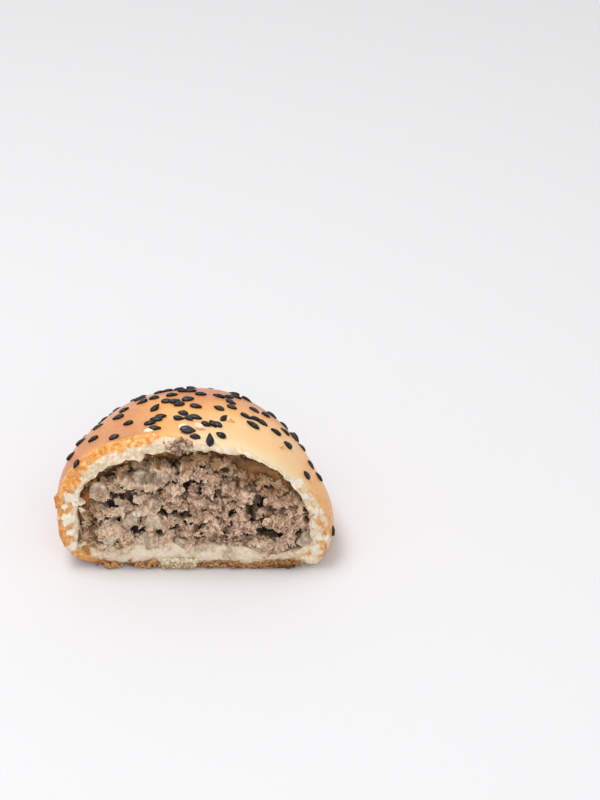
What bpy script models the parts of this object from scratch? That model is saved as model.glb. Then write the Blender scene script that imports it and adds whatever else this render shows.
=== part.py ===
"""Half of a baked meat bun, cut across the middle: a crust with black sesame, and its filling of mince.

The cut face looks along -Y and the pinched tip points along +Y. The bun rests on its flat base at Z = 0.
"""

import math
import random

import bmesh
import bpy
from mathutils import Matrix, Vector, noise

MM = 0.001
TINY = 1e-6
SMALL_STEP = 0.004  # for a slope, along the half or in radians

# The bun's outer form
CUT_WIDTH = 65.4 * MM
BUN_HEIGHT = 37.4 * MM
HALF_LENGTH = 60.0 * MM
TIP_LEAN = math.radians(5.0)  # the long axis swings this far towards +X
PLAN_POWER = 2.0  # how full the bun is in plan
PLAN_ROUNDING = 0.74
RIDGE_POWER = 3.3  # and how full it is seen from the side
RIDGE_ROUNDING = 1.05
SIDE_SWELL = 0.045  # the sides bulge behind the cut by this share of the width
SWELL_END = 0.4  # along the half
CREST_SHIFT = -4.2 * MM  # the crest leans towards -X
SIDE_SKEW = -0.095  # the left flank is widest high up, the right one low down
BELLY_LEVEL = 0.27  # the widest level, as a share of the height
TOP_POWER = 2.07  # roundness of the section above the belly
BASE_POWER = 3.2  # and below it, where it turns sharply into the flat base
BASE_OVERSHOOT = 1.12  # the lower half is drawn deeper than the base, which then cuts it flat
LUMP_SIZE = 17.0 * MM
LUMP_HEIGHT = 0.55 * MM
LUMP_START = 12.0 * MM  # the dough is uneven from this height up, and flat at the base
LUMP_TILT = 0.3  # how much the lumps push along the bun as well as outward
MIDDLE = (0.4 * MM, 28.9 * MM, 0.0)  # of the bun's box, measured from the cut; it becomes the origin

# The pinched nub at the tip
NUB_HALF_WIDTH = 4.8 * MM
NUB_HEIGHT = 11.5 * MM
NUB_PLACE = 0.92  # along the half, from 0 at the cut to 1 at the tip
NUB_LIFT = 2.2 * MM
LIFT_START = 0.7  # from here on the base rises towards the nub
TIP_PINCH = 0.35  # the sides draw in by this share at the tip
TIP_PINCH_POWER = 6
NECK_BLEND = 2.4 * MM  # softens the neck in front of the nub
NECK_RISE = (0.5, 0.9)  # where the softening comes in
NECK_FALL = (0.94, 1.0)  # and goes out

# The wall round the filling
SIDE_WALL = 4.4 * MM
TOP_WALL = 3.5 * MM
BASE_WALL = 4.0 * MM
TIP_WALL = 10.0 * MM
HOLLOW_TOP_POWER = 2.3
HOLLOW_CREST_SHIFT = 1.5 * MM
HOLLOW_MOUTH = 0.8 * MM  # the hollow's wall starts this far behind the cut crumb
RIM_SHARES = (0.12, 0.5, 0.93)  # rings across the cut crumb, from the skin to the hollow
RIM_CURVE = 1.5
LIP_SLOPE = 2.1 * MM  # the skin's edge at the crest lies this far behind the inner edge of the cut
LIP_SLOPE_AT_BASE = 0.3  # of the slope at the crest
LIP_ROUGHNESS = 0.45 * MM
LIP_NOISE_TURNS = 9.0  # how fast the torn edge varies round the cut
LIP_NOISE_ROWS = 3.7  # and across it

# The filling
CLEARANCE = 0.45 * MM
CREST_GAP = 1.3 * MM  # the filling has sunk from the crust above it
CREST_REACH = (0.2, 0.9)  # from the flanks to the crest, as heights on a unit circle
SHOULDER_GAP = 4.2 * MM  # and most of all under the right shoulder
SHOULDER_ANGLES = (math.radians(50), math.radians(20))  # its middle and half its spread
FLANK_GAP = 1.3 * MM
FLANK_ANGLES = (math.radians(172), math.radians(13))
GAP_DEPTH = 24.0 * MM  # the gap closes this far in
FACE_RECESS = 1.0 * MM
EDGE_RECESS = 1.3 * MM  # the filling falls back this much more at its edge
FACE_EDGE = 0.75  # from this share of the way out
FACE_MIDDLE_LEVEL = 0.42  # of the hollow's height
MINCE_SIZE = 5.0 * MM
COARSE_SIZE = 11.0 * MM  # slower swells under it
COARSE_PLANE = 7.0 * MM  # where the slower swells cut the noise, apart from the finer ones
MINCE_RELIEF = 1.5 * MM
CRUMB_COUNT = 60
CRUMB_RADIUS = (1.2 * MM, 2.3 * MM)
CRUMB_STRETCH = (0.75, 1.25)
ONION_COUNT = 18
ONION_SIZE = (3.6 * MM, 2.8 * MM, 1.6 * MM)
ONION_MARGIN = 2.2 * MM  # an onion piece keeps this far inside the edge of the cut face

# Black sesame
SEED_LENGTH = 3.6 * MM
SEED_WIDTH = 2.2 * MM
SEED_THICKNESS = 1.2 * MM
SEED_TAPER = 0.5  # how much narrower it is towards its point
SEED_SUNK = 0.3  # the share of its thickness that is baked into the skin
SEED_GROUPS = (  # degrees round the section from the right flank, millimetres from the cut, how many
    (83, 4, 2), (71, 3, 2), (72, 9, 2), (84, 11, 5), (102, 9, 5), (118, 11, 1), (123, 5, 1),
    (137, 8, 2), (148, 10, 2), (146, 1.5, 1), (56, 15, 5), (50, 22, 4), (40, 15, 2), (29, 22, 3),
    (26, 10, 3), (3, 4, 1), (95, 18, 5), (85, 21, 4), (69, 19, 5), (68, 25, 4), (98, 25, 3),
    (114, 22, 4), (126, 18, 4), (138, 15, 2),
)
GROUP_SPREAD = 2.3 * MM
FAR_SEEDS = 44  # further along they lie evenly
FAR_ANGLES = (math.radians(25), math.radians(155))
FAR_REACH = (0.45, 0.87)  # along the half
SEED_START = 1.5 * MM  # none lies closer to the skin's edge

SEGMENTS = 48  # round each section
BASE_WEIGHT = 0.4  # the flat base needs fewer of them
CORNER_WEIGHT = 3.0  # and its rounded corners more
CORNER_SHARE = 0.25  # which reach up to this share of the height
FINE_STEPS = 1440
TIP_PLACE = 0.99999  # where the skin closes
END_DEPTH = 0.5 * MM  # the hollow's end bulges this far past its last ring
OUTER_RINGS = 19
INNER_RINGS = 9
FACE_RINGS = 9
SMOOTH_BELOW = math.radians(40)


def smooth_max(a, b, width):
    return 0.5 * (a + b + math.sqrt((a - b) ** 2 + width**2))


def smooth_step(low, high, x):
    s = min(max((x - low) / (high - low), 0.0), 1.0)
    return s * s * (3 - 2 * s)


def bell(x, middle, spread):
    return math.exp(-(((x - middle) / spread) ** 2))


class Form:
    """A half lemon with a flat base: the bun itself, or the hollow in it."""

    def __init__(self, half_width, height, length, base, top_power, crest_shift, nub):
        self.half_width = half_width
        self.height = height
        self.length = length
        self.base = base
        self.top_power = top_power
        self.crest_shift = crest_shift
        self.nub = nub

    def size_at(self, t):
        """Half width, height and base level of the section at t, from 0 at the cut to 1 at the tip."""
        swell = 1 + SIDE_SWELL * math.sin(math.pi * min(t / SWELL_END, 1))
        half_width = self.half_width * (1 - t**PLAN_POWER) ** PLAN_ROUNDING * swell
        height = self.height * (1 - t**RIDGE_POWER) ** RIDGE_ROUNDING
        if not self.nub:
            return half_width, height, self.base
        across = math.sqrt(max(0.0, 1 - ((t - NUB_PLACE) / (1 - NUB_PLACE)) ** 2))
        neck = NECK_BLEND * smooth_step(*NECK_RISE, t) * (1 - smooth_step(*NECK_FALL, t))
        pinched = half_width * (1 - TIP_PINCH * t**TIP_PINCH_POWER)
        half_width = smooth_max(pinched, NUB_HALF_WIDTH * across, neck)
        height = smooth_max(height, NUB_HEIGHT * across, neck)
        return half_width, height, self.base + NUB_LIFT * smooth_step(LIFT_START, 1.0, t)

    def radius(self, t, angle):
        """Distance from the section's belly line to its edge, and that line's level above the base."""
        half_width, height, _ = self.size_at(t)
        half_width = max(half_width, TINY)
        height = max(height, TINY)
        belly = BELLY_LEVEL * height
        across = abs(math.cos(angle)) / half_width
        if math.sin(angle) >= 0:
            up = math.sin(angle) / (height - belly)
            return (across**self.top_power + up**self.top_power) ** (-1 / self.top_power), belly
        down = -math.sin(angle) / (belly * BASE_OVERSHOOT)
        return (across**BASE_POWER + down**BASE_POWER) ** (-1 / BASE_POWER), belly

    def point(self, t, angle, shrink=0.0):
        """A point of the surface, drawn in by shrink."""
        reach, belly = self.radius(t, angle)
        _, height, base = self.size_at(t)
        x = max(reach - shrink, 0.0) * math.cos(angle)
        z = max(belly + max(reach - shrink, 0.0) * math.sin(angle), min(shrink, belly))
        y = self.length * t
        share = z / max(height, TINY)
        z += SIDE_SKEW * x * 4 * share * (1 - share)
        x += (self.crest_shift * share**2) * (height / BUN_HEIGHT) + math.tan(TIP_LEAN) * y
        return Vector((x, y, base + z))


BUN = Form(CUT_WIDTH / 2, BUN_HEIGHT, HALF_LENGTH, 0.0, TOP_POWER, CREST_SHIFT, True)
HOLLOW = Form(
    CUT_WIDTH / 2 - SIDE_WALL,
    BUN_HEIGHT - TOP_WALL - BASE_WALL,
    HALF_LENGTH - TIP_WALL,
    BASE_WALL,
    HOLLOW_TOP_POWER,
    HOLLOW_CREST_SHIFT,
    False,
)


FACE_MIDDLE = Vector((0, 0, BASE_WALL + FACE_MIDDLE_LEVEL * HOLLOW.height))


def spaced_angles():
    """Angles round a section, close together at the corners of the base and far apart along it."""
    fine = [2 * math.pi * k / FINE_STEPS for k in range(FINE_STEPS + 1)]
    total = [0.0]
    for a, b in zip(fine, fine[1:]):
        p, q = BUN.point(0, a), BUN.point(0, b)
        on_base = p.z < TINY and q.z < TINY
        near_corner = p.z < CORNER_SHARE * BUN_HEIGHT and not on_base
        weight = BASE_WEIGHT if on_base else CORNER_WEIGHT if near_corner else 1.0
        total.append(total[-1] + weight * (q - p).length)
    chosen = []
    k = 0
    for n in range(SEGMENTS):
        while total[k] < total[-1] * n / SEGMENTS:
            k += 1
        chosen.append(fine[k])
    return chosen


ANGLES = spaced_angles()


def lumpy(point):
    """Uneven dough: the point pushed in or out, more near the top and not at all on the base."""
    push = LUMP_HEIGHT * noise.noise(point / LUMP_SIZE) * smooth_step(0, LUMP_START, point.z)
    outward = Vector((point.x, LUMP_TILT * point.y, point.z)).normalized()
    return point + outward * push


def lip_setback(angle):
    """How far the skin's edge lies behind the inner edge: most at the crest, little at the base."""
    upward = max(0.0, math.sin(angle))
    return LIP_SLOPE * (LIP_SLOPE_AT_BASE + (1 - LIP_SLOPE_AT_BASE) * upward)


def ragged(angle, row):
    """The torn crumb of the cut, as a push along Y that differs from point to point."""
    turned = LIP_NOISE_TURNS * Vector((math.cos(angle), math.sin(angle), 0))
    return LIP_ROUGHNESS * noise.noise(turned + Vector((0, 0, LIP_NOISE_ROWS * row)))


def outer_rings():
    """Rings of the skin from the cut's edge to just before the tip."""
    rings = []
    for k in range(OUTER_RINGS):
        t = ring_place(k, OUTER_RINGS)
        ring = [lumpy(BUN.point(t, a)) for a in ANGLES]
        if k == 0:
            ring = [p + Vector((0, lip_setback(a), 0)) for p, a in zip(ring, ANGLES)]
        rings.append(ring)
    return rings


def rim_rings():
    """Rings across the cut crumb, from the skin's edge to the hollow's edge."""
    rings = []
    for row, share in enumerate(RIM_SHARES):
        ring = []
        for a in ANGLES:
            outside = lumpy(BUN.point(0, a))
            inside = HOLLOW.point(0, a)
            p = outside.lerp(inside, share)
            p.y = lip_setback(a) * (1 - share) ** RIM_CURVE + ragged(a, row)
            ring.append(p)
        rings.append(ring)
    return rings


def ring_place(k, count):
    """Where ring k lies along a form, from 0 at the cut; the rings crowd towards the rounded tip."""
    return math.sin(0.5 * math.pi * k / count)


def hollow_rings():
    """Rings of the hollow from its mouth to just before its end."""
    rings = []
    for k in range(INNER_RINGS):
        t = ring_place(k, INNER_RINGS)
        ring = [HOLLOW.point(t, a) for a in ANGLES]
        if k == 0:
            ring = [p + Vector((0, HOLLOW_MOUTH, 0)) for p in ring]
        rings.append(ring)
    return rings


def loft(name, rings, first_pole, last_pole):
    """A closed mesh through rings of equally many points, with a point at each end."""
    bm = bmesh.new()
    loops = [[bm.verts.new(p) for p in ring] for ring in rings]
    for ring, after in zip(loops, loops[1:]):
        for k in range(SEGMENTS):
            n = (k + 1) % SEGMENTS
            bm.faces.new((ring[k], ring[n], after[n], after[k]))
    for ring, pole in ((loops[0], first_pole), (loops[-1], last_pole)):
        centre = bm.verts.new(pole)
        for k in range(SEGMENTS):
            bm.faces.new((ring[k], ring[(k + 1) % SEGMENTS], centre))
    bmesh.ops.triangulate(bm, faces=bm.faces)
    bmesh.ops.recalc_face_normals(bm, faces=bm.faces)
    mesh = bpy.data.meshes.new(name)
    bm.to_mesh(mesh)
    bm.free()
    obj = bpy.data.objects.new(name, mesh)
    bpy.context.scene.collection.objects.link(obj)
    return obj


def make_crust():
    rings = outer_rings()[::-1] + rim_rings() + hollow_rings()
    tip = 0.5 * (BUN.point(TIP_PLACE, 0.5 * math.pi) + BUN.point(TIP_PLACE, -0.5 * math.pi))
    end = sum(rings[-1], Vector()) / SEGMENTS + Vector((0, END_DEPTH, 0))
    return loft("crust", rings, tip, end)


def gap_at(t, angle):
    """How far the filling keeps from the hollow's wall."""
    fade = 1 - smooth_step(0, GAP_DEPTH, t * HOLLOW.length)
    crest = CREST_GAP * smooth_step(*CREST_REACH, math.sin(angle))
    shoulder = SHOULDER_GAP * bell(angle, *SHOULDER_ANGLES)
    flank = FLANK_GAP * bell(angle, *FLANK_ANGLES)
    return CLEARANCE + fade * (crest + shoulder + flank)


def mince_relief(point):
    """Height of the broken face of the mince, out towards the camera."""
    coarse = noise.noise(Vector((point.x, COARSE_PLANE, point.z)) / COARSE_SIZE)
    fine = noise.noise(Vector((point.x, 0, point.z)) / MINCE_SIZE)
    return MINCE_RELIEF * (coarse + fine)


def face_ring(share):
    """A ring of the filling's cut face, drawn in to a share of the edge ring about the middle."""
    ring = []
    for a in ANGLES:
        edge = HOLLOW.point(0, a, gap_at(0, a))
        p = FACE_MIDDLE.lerp(edge, share)
        inner = 1 - smooth_step(FACE_EDGE, 1.0, share)
        p.y = FACE_RECESS + EDGE_RECESS * (1 - inner) - inner * mince_relief(p)
        ring.append(p)
    return ring


def filling_rings():
    """Rings of the filling's side from behind its cut edge to just before its end."""
    rings = []
    for k in range(1, INNER_RINGS):
        t = ring_place(k, INNER_RINGS)
        rings.append([HOLLOW.point(t, a, gap_at(t, a)) for a in ANGLES])
    return rings


def scattered_on_face(random_source, margin):
    """A place on the filling's cut face, evenly spread, at least a margin from its edge."""
    a = random_source.uniform(0, 2 * math.pi)
    share = math.sqrt(random_source.random())
    p = FACE_MIDDLE.lerp(HOLLOW.point(0, a, gap_at(0, a) + margin), share)
    p.y = FACE_RECESS - mince_relief(p)
    return p


def random_turn(random_source):
    axis = Vector([random_source.gauss(0, 1) for _ in range(3)]).normalized()
    return Matrix.Rotation(random_source.uniform(0, math.pi), 4, axis)


def make_chunk(kind, place, size, turn, collection):
    """A small lump of mince or a piece of onion, to be fused to the filling."""
    bm = bmesh.new()
    if kind == "crumb":
        bmesh.ops.create_icosphere(bm, subdivisions=1, radius=1.0)
    else:
        bmesh.ops.create_cube(bm, size=1.0)
    matrix = Matrix.Translation(place) @ turn @ Matrix.Diagonal((*size, 1))
    bmesh.ops.transform(bm, matrix=matrix, verts=bm.verts)
    mesh = bpy.data.meshes.new(kind)
    bm.to_mesh(mesh)
    bm.free()
    obj = bpy.data.objects.new(kind, mesh)
    collection.objects.link(obj)
    return obj


def fuse(body, collection):
    """Joins a collection's solids to the body with one Boolean union, and removes them."""
    union = body.modifiers.new("fused", "BOOLEAN")
    union.operation = "UNION"
    union.operand_type = "COLLECTION"
    union.collection = collection
    union.solver = "MANIFOLD"
    with bpy.context.temp_override(object=body, active_object=body):
        bpy.ops.object.modifier_apply(modifier=union.name)
    for piece in list(collection.objects):
        bpy.data.objects.remove(piece)
    bpy.data.collections.remove(collection)


def make_filling():
    rings = [face_ring(k / FACE_RINGS) for k in range(1, FACE_RINGS + 1)] + filling_rings()
    middle = FACE_MIDDLE + Vector((0, FACE_RECESS, 0))
    end = sum(rings[-1], Vector()) / SEGMENTS
    filling = loft("filling", rings, middle, end)
    chunks = bpy.data.collections.new("chunks")
    bpy.context.scene.collection.children.link(chunks)
    spread = random.Random(12)
    for _ in range(CRUMB_COUNT):
        radius = spread.uniform(*CRUMB_RADIUS)
        size = [radius * spread.uniform(*CRUMB_STRETCH) for _ in range(3)]
        make_chunk("crumb", scattered_on_face(spread, max(size)), size, random_turn(spread), chunks)
    for _ in range(ONION_COUNT):
        place = scattered_on_face(spread, ONION_MARGIN)
        make_chunk("onion", place, ONION_SIZE, random_turn(spread), chunks)
    fuse(filling, chunks)
    return filling


def seed_places():
    """Where the seeds lie, as (t, angle, turn): in groups near the cut, evenly over the rest of the top."""
    spread = random.Random(5)
    places = []
    for degrees, millimetres, count in SEED_GROUPS:
        loose = GROUP_SPREAD if count > 1 else 0.0
        for _ in range(count):
            angle = math.radians(degrees) + spread.gauss(0, loose) / (0.5 * CUT_WIDTH)
            along = max(millimetres * MM + spread.gauss(0, loose), lip_setback(angle) + SEED_START)
            places.append((along / HALF_LENGTH, angle, spread.uniform(0, 2 * math.pi)))
    for _ in range(FAR_SEEDS):
        t = spread.uniform(*FAR_REACH)
        places.append((t, spread.uniform(*FAR_ANGLES), spread.uniform(0, 2 * math.pi)))
    return places


def skin_frame(t, angle):
    """A point of the skin with the outward normal and the direction along the bun there."""
    here = lumpy(BUN.point(t, angle))
    along = (lumpy(BUN.point(t + SMALL_STEP, angle)) - here).normalized()
    round_it = (lumpy(BUN.point(t, angle + SMALL_STEP)) - here).normalized()
    normal = along.cross(round_it).normalized()
    return here, normal, along


def make_seed(t, angle, turn, collection):
    """A flat drop with six sides, its point along its own X."""
    bm = bmesh.new()
    bmesh.ops.create_uvsphere(bm, u_segments=6, v_segments=3, radius=0.5)
    bmesh.ops.rotate(bm, matrix=Matrix.Rotation(0.5 * math.pi, 3, "Y"), verts=bm.verts)
    for v in bm.verts:
        taper = 1 - SEED_TAPER * smooth_step(0.0, 0.5, v.co.x)
        v.co = Vector((v.co.x * SEED_LENGTH, v.co.y * taper * SEED_WIDTH, v.co.z * taper * SEED_THICKNESS))
    here, normal, along = skin_frame(t, angle)
    side = normal.cross(along)
    axes = Matrix((along, side, normal)).transposed().to_4x4()
    lift = Matrix.Translation(here + normal * SEED_THICKNESS * (0.5 - SEED_SUNK))
    bmesh.ops.transform(bm, matrix=lift @ axes @ Matrix.Rotation(turn, 4, "Z"), verts=bm.verts)
    mesh = bpy.data.meshes.new("seed")
    bm.to_mesh(mesh)
    bm.free()
    obj = bpy.data.objects.new("seed", mesh)
    collection.objects.link(obj)
    return obj


def make_material(name, colour, roughness):
    material = bpy.data.materials.new(name)
    material.use_nodes = True
    shader = material.node_tree.nodes["Principled BSDF"]
    shader.inputs["Base Color"].default_value = (*colour, 1)
    shader.inputs["Roughness"].default_value = roughness
    shader.inputs["Metallic"].default_value = 0
    return material


def main():
    for obj in list(bpy.data.objects):
        bpy.data.objects.remove(obj)
    crust = make_crust()
    seeds = bpy.data.collections.new("seeds")
    bpy.context.scene.collection.children.link(seeds)
    for t, angle, turn in seed_places():
        make_seed(t, angle, turn, seeds)
    fuse(crust, seeds)
    crust.data.materials.append(make_material("baked_crust", (0.62, 0.31, 0.11), 0.4))
    filling = make_filling()
    filling.data.materials.append(make_material("minced_meat", (0.30, 0.21, 0.16), 0.6))
    crust.data.shade_smooth()
    crust.data.set_sharp_from_angle(angle=SMOOTH_BELOW)
    for node in (crust, filling):
        node.data.transform(Matrix.Translation(-Vector(MIDDLE)))


main()
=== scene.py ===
"""Half a baked meat bun: golden crust with black sesame, torn pale crumb, coarse mince with onion.

The form is drawn from the cut: X across it, Y into the bun, Z up. MIDDLE moves it into the frame.
"""

import math
from dataclasses import dataclass

import bmesh
import bpy
import numpy as np
from mathutils import Matrix, Vector, kdtree, noise


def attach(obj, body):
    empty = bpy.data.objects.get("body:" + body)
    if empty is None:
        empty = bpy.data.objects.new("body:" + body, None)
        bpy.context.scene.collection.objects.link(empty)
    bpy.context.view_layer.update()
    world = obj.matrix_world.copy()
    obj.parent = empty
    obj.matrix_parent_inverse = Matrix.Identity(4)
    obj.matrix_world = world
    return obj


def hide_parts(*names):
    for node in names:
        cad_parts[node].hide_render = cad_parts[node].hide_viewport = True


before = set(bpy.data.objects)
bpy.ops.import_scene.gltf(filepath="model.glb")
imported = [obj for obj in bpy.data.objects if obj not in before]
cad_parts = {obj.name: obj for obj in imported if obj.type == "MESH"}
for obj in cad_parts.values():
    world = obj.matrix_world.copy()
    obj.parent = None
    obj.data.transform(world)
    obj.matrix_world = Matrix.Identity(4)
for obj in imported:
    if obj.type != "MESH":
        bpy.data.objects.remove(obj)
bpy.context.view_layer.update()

MM = 0.001
DEG = math.radians(1)
TINY = 1e-6

# The bun's outer form, as the crust node has it
CUT_WIDTH = 65.4 * MM
BUN_HEIGHT = 37.4 * MM
HALF_LENGTH = 60.0 * MM
TIP_LEAN = 5 * DEG
PLAN_POWER = 2.0
PLAN_ROUNDING = 0.74
RIDGE_POWER = 3.3
RIDGE_ROUNDING = 1.05
SIDE_SWELL = 0.045
SWELL_END = 0.4
CREST_SHIFT = -4.2 * MM
SIDE_SKEW = -0.095
BELLY_LEVEL = 0.27
TOP_POWER = 2.07
BASE_POWER = 3.2
BASE_OVERSHOOT = 1.12
LUMP_SIZE = 17.0 * MM
LUMP_HEIGHT = 0.55 * MM
LUMP_START = 12.0 * MM
LUMP_TILT = 0.3
MIDDLE = Vector((0.4 * MM, 28.9 * MM, 0.0))

NUB_HALF_WIDTH = 4.8 * MM
NUB_HEIGHT = 11.5 * MM
NUB_PLACE = 0.92
NUB_LIFT = 2.2 * MM
LIFT_START = 0.7
TIP_PINCH = 0.35
TIP_PINCH_POWER = 6
NECK_BLEND = 2.4 * MM
NECK_RISE = (0.5, 0.9)
NECK_FALL = (0.94, 1.0)

SIDE_WALL = 4.4 * MM
TOP_WALL = 3.5 * MM
BASE_WALL = 4.0 * MM
TIP_WALL = 10.0 * MM
HOLLOW_TOP_POWER = 2.3
HOLLOW_CREST_SHIFT = 1.5 * MM
LIP_SLOPE = 2.1 * MM
LIP_SLOPE_AT_BASE = 0.3
RIM_CURVE = 1.5
LIP_REACH = 3.0 * MM  # how far back the shape of the lip moves the skin

CLEARANCE = 0.45 * MM
CREST_GAP = 1.3 * MM
CREST_REACH = (0.2, 0.9)
SHOULDER_GAP = 4.2 * MM
SHOULDER_ANGLES = (50 * DEG, 20 * DEG)
FLANK_GAP = 1.3 * MM
FLANK_ANGLES = (172 * DEG, 13 * DEG)
GAP_DEPTH = 24.0 * MM

# The camera of the photograph, whose frame is 600 by 800 pixels
PHOTO_WIDTH = 600
PHOTO_HEIGHT = 800
ELEVATION = 31 * DEG
DISTANCE = 600 * MM  # along the view, to the foot of the cut
PIXEL = 0.2465 * MM  # there
CUT_FOOT = (195, 568)  # the pixel of the cut's middle at the base
SENSOR = 36.0

FLOOR_SIZE = 3.0
ROOM_LIGHT = 0.68
LIT_POINT = Vector((0, 0, 20 * MM))
LIGHTS = (("key", (-0.22, 0.0, 0.8), 0.4, 3.45), ("fill", (0.1, -0.7, 0.5), 0.6, 1.6))

# The cut crumb
LIP_NOTCH = (180, 446)  # the pixel where the crumb of the lip is broken out
CRUMB_SWELL = 0.4 * MM
CRUMB_GRAIN = 0.2 * MM
INNER_TEETH = 0.65 * MM
FRONT_LIFT = 0.5 * MM  # the base curls up this much at the cut
FOOT_RISE = 2.6 * MM  # soft dough climbs this far up the foot of the mince
FOOT_REACH = (-23 * MM, -14 * MM, 10 * MM, 19 * MM)  # across the cut: where it rises and where it ends

# The mince
CLUMP_SPACING = 2.3 * MM
CLUMP_RADIUS = 1.6 * MM
CLUMP_STRETCH = (1.35, 1.0, 0.7)
STRATA_SLOPE = -14 * DEG  # the mince breaks in layers that fall this way
UPPER_START = 21.0 * MM
GLAZE_MARGINS = (1.5 * MM, 2.5 * MM, 3.5 * MM, 4.5 * MM)
GLAZE_LEFT = -22.5 * MM
UPPER_RIGHT = 3.0 * MM
UPPER_MARGIN = 1.3  # of a clump's radius: how far it keeps from the crust overhead
CLOSE_MARGIN = -0.55
LOW_MARGIN = 0.25
ADDED_CLUMPS = (  # pixels of clumps near the walls
    (84, 517), (90, 515), (87, 525), (91, 533), (93, 540), (291, 546), (297, 541), (300, 534),
    (286, 550), (279, 552), (191, 463), (197, 461), (203, 462),
)
GRAIN_RADIUS = (0.4 * MM, 0.95 * MM)
GRAINS_IN_CLUMP = 15
FACE_RELIEF = 1.2 * MM
FACE_RECESS = 0.6 * MM
EDGE_RECESS = 0.8 * MM
SECOND_LAYER = 1.8 * MM
BACKING = (4.4 * MM, 8.0 * MM)
VOXEL = 0.34 * MM
SHARPNESS = 0.75 * MM
BIT_COUNT = 9500
BIT_SIZE = (0.18 * MM, 0.5 * MM)
CREVICE_WIDTH = 0.78 * MM
CREVICE_SINK = 2.6 * MM
MASS_SPACING = 4.6 * MM
MASS_FLATNESS = 1.6  # how much wider than high a mass of mince is
MASS_SHIFT = 1.0 * MM
AT_ONCE = 20000  # points compared with all masses in one go
GROOVE_WIDTH = 0.72 * MM
GROOVE_DEPTH = 1.9 * MM
CREVICES = (
    ((108, 506), (116, 499), (127, 497), (130, 491), (137, 489), (145, 492), (155, 492), (161, 487)),
    ((107, 518), (115, 521), (121, 516)),
    ((123, 524), (130, 527), (134, 530), (142, 529), (146, 532)),
    ((184, 484), (192, 481), (200, 478)),
    ((184, 496), (198, 495), (205, 494), (213, 500)),
    ((163, 514), (178, 517)),
    ((182, 520), (190, 517)),
    ((219, 516), (224, 517)),
    ((262, 498), (256, 506), (251, 513), (243, 506)),
    ((252, 533), (262, 535), (270, 532), (276, 541)),
    ((290, 506), (284, 508), (277, 511), (268, 512)),
    ((92, 512), (95, 520), (93, 530), (96, 538)),
    ((298, 530), (297, 540), (300, 546)),
    ((84, 488), (85, 497), (88, 507)),
    ((79, 527), (79, 540), (83, 547), (87, 553)),
)
WIDE_CREVICES = (((258, 502), (252, 511)), ((264, 531), (280, 533)))
ONIONS = (  # pixel, width and height in pixels, turn in degrees
    (99, 491, 17, 14, 10), (142, 481, 19, 19, -15), (163, 477, 15, 13, 30), (131, 519, 15, 16, 60),
    (155, 519, 15, 14, 10), (149, 541, 18, 17, -30), (110, 541, 14, 11, 15),
    (184, 542, 20, 9, 0), (306, 540, 13, 14, 35), (154, 505, 12, 9, 20),
)
ONION_THICKNESS = 2.2 * MM
ONION_LIFT = 0.2 * MM

# Black sesame
SEED_LENGTH = 3.0 * MM
SEED_WIDTH = 1.62 * MM
SEED_THICKNESS = 1.15 * MM
SEED_SUNK = 0.28
SEED_CEILING = BUN_HEIGHT + 1.7 * MM
SEEDS_SEEN = (  # pixel, and the direction of the seed's point in the picture in degrees
    (177, 385, 135), (192, 385, 10), (166, 388, 197), (159, 391, 25), (172, 395, 30), (184, 391, 190),
    (236, 397, -20), (255, 426, -60),
    (191, 391, -20), (201, 394, 0), (154, 398, 195), (140, 399, 35), (142, 402, 205), (167, 401, -10),
    (175, 401, 45), (188, 399, 20), (179, 404, 215), (196, 406, -20), (155, 408, 60), (124, 410, 30),
    (118, 417, 190), (98, 427, 35), (161, 416, -8), (156, 419, 170), (150, 423, 0), (155, 428, -8),
    (128, 423, 188), (114, 437, 8), (93, 439, 205), (81, 442, 45), (71, 456, 60), (76, 464, 280),
    (183, 413, 170), (179, 418, 10), (189, 418, -60), (196, 417, -25), (206, 424, -40), (213, 424, -70),
    (217, 424, 135), (195, 437, 165), (221, 435, 146), (224, 418, 60),
    (219, 396, 172), (229, 397, 50), (235, 392, 95), (231, 402, -15), (219, 408, 183), (232, 407, -10),
    (247, 400, -15), (254, 410, 168), (246, 416, -40), (256, 419, 20), (252, 424, 145), (263, 423, -8),
    (266, 415, 30), (272, 415, -45), (276, 432, 180), (285, 432, 150), (287, 424, -50), (288, 445, 120),
    (294, 437, -40), (303, 447, 130), (311, 465, -50), (307, 475, 160), (319, 477, -70), (334, 531, 90),
)
LIP_SEEDS = ((188, 429, -8), (210, 440, 92))  # those on the lip, which face the camera
PALE_HULLS = (((186, 427.5, -8), 1.22), ((200, 426, -25), 0.9))  # empty hulls of seeds, and their size
HULL_FLATNESS = 0.45
LIP_SEED_SIZE = 1.27
SEED_LEAN = 0.45
LIP_LEAN = 1.8
LIP_LIFT = 0.55 * MM
LEAST_FACING = 0.4
OUTLINE_MIDDLE = (195, 480)  # a pixel well inside the bun
HIDDEN_SEEDS = 66
HIDDEN_REACH = (0.25, 0.35, 0.95)  # along the half: from where, where most of them are, and to where
HIDDEN_ANGLES = (22 * DEG, 158 * DEG)
MOST_HIDDEN = 0.3  # few lie just beyond the horizon that the camera sees

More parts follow.
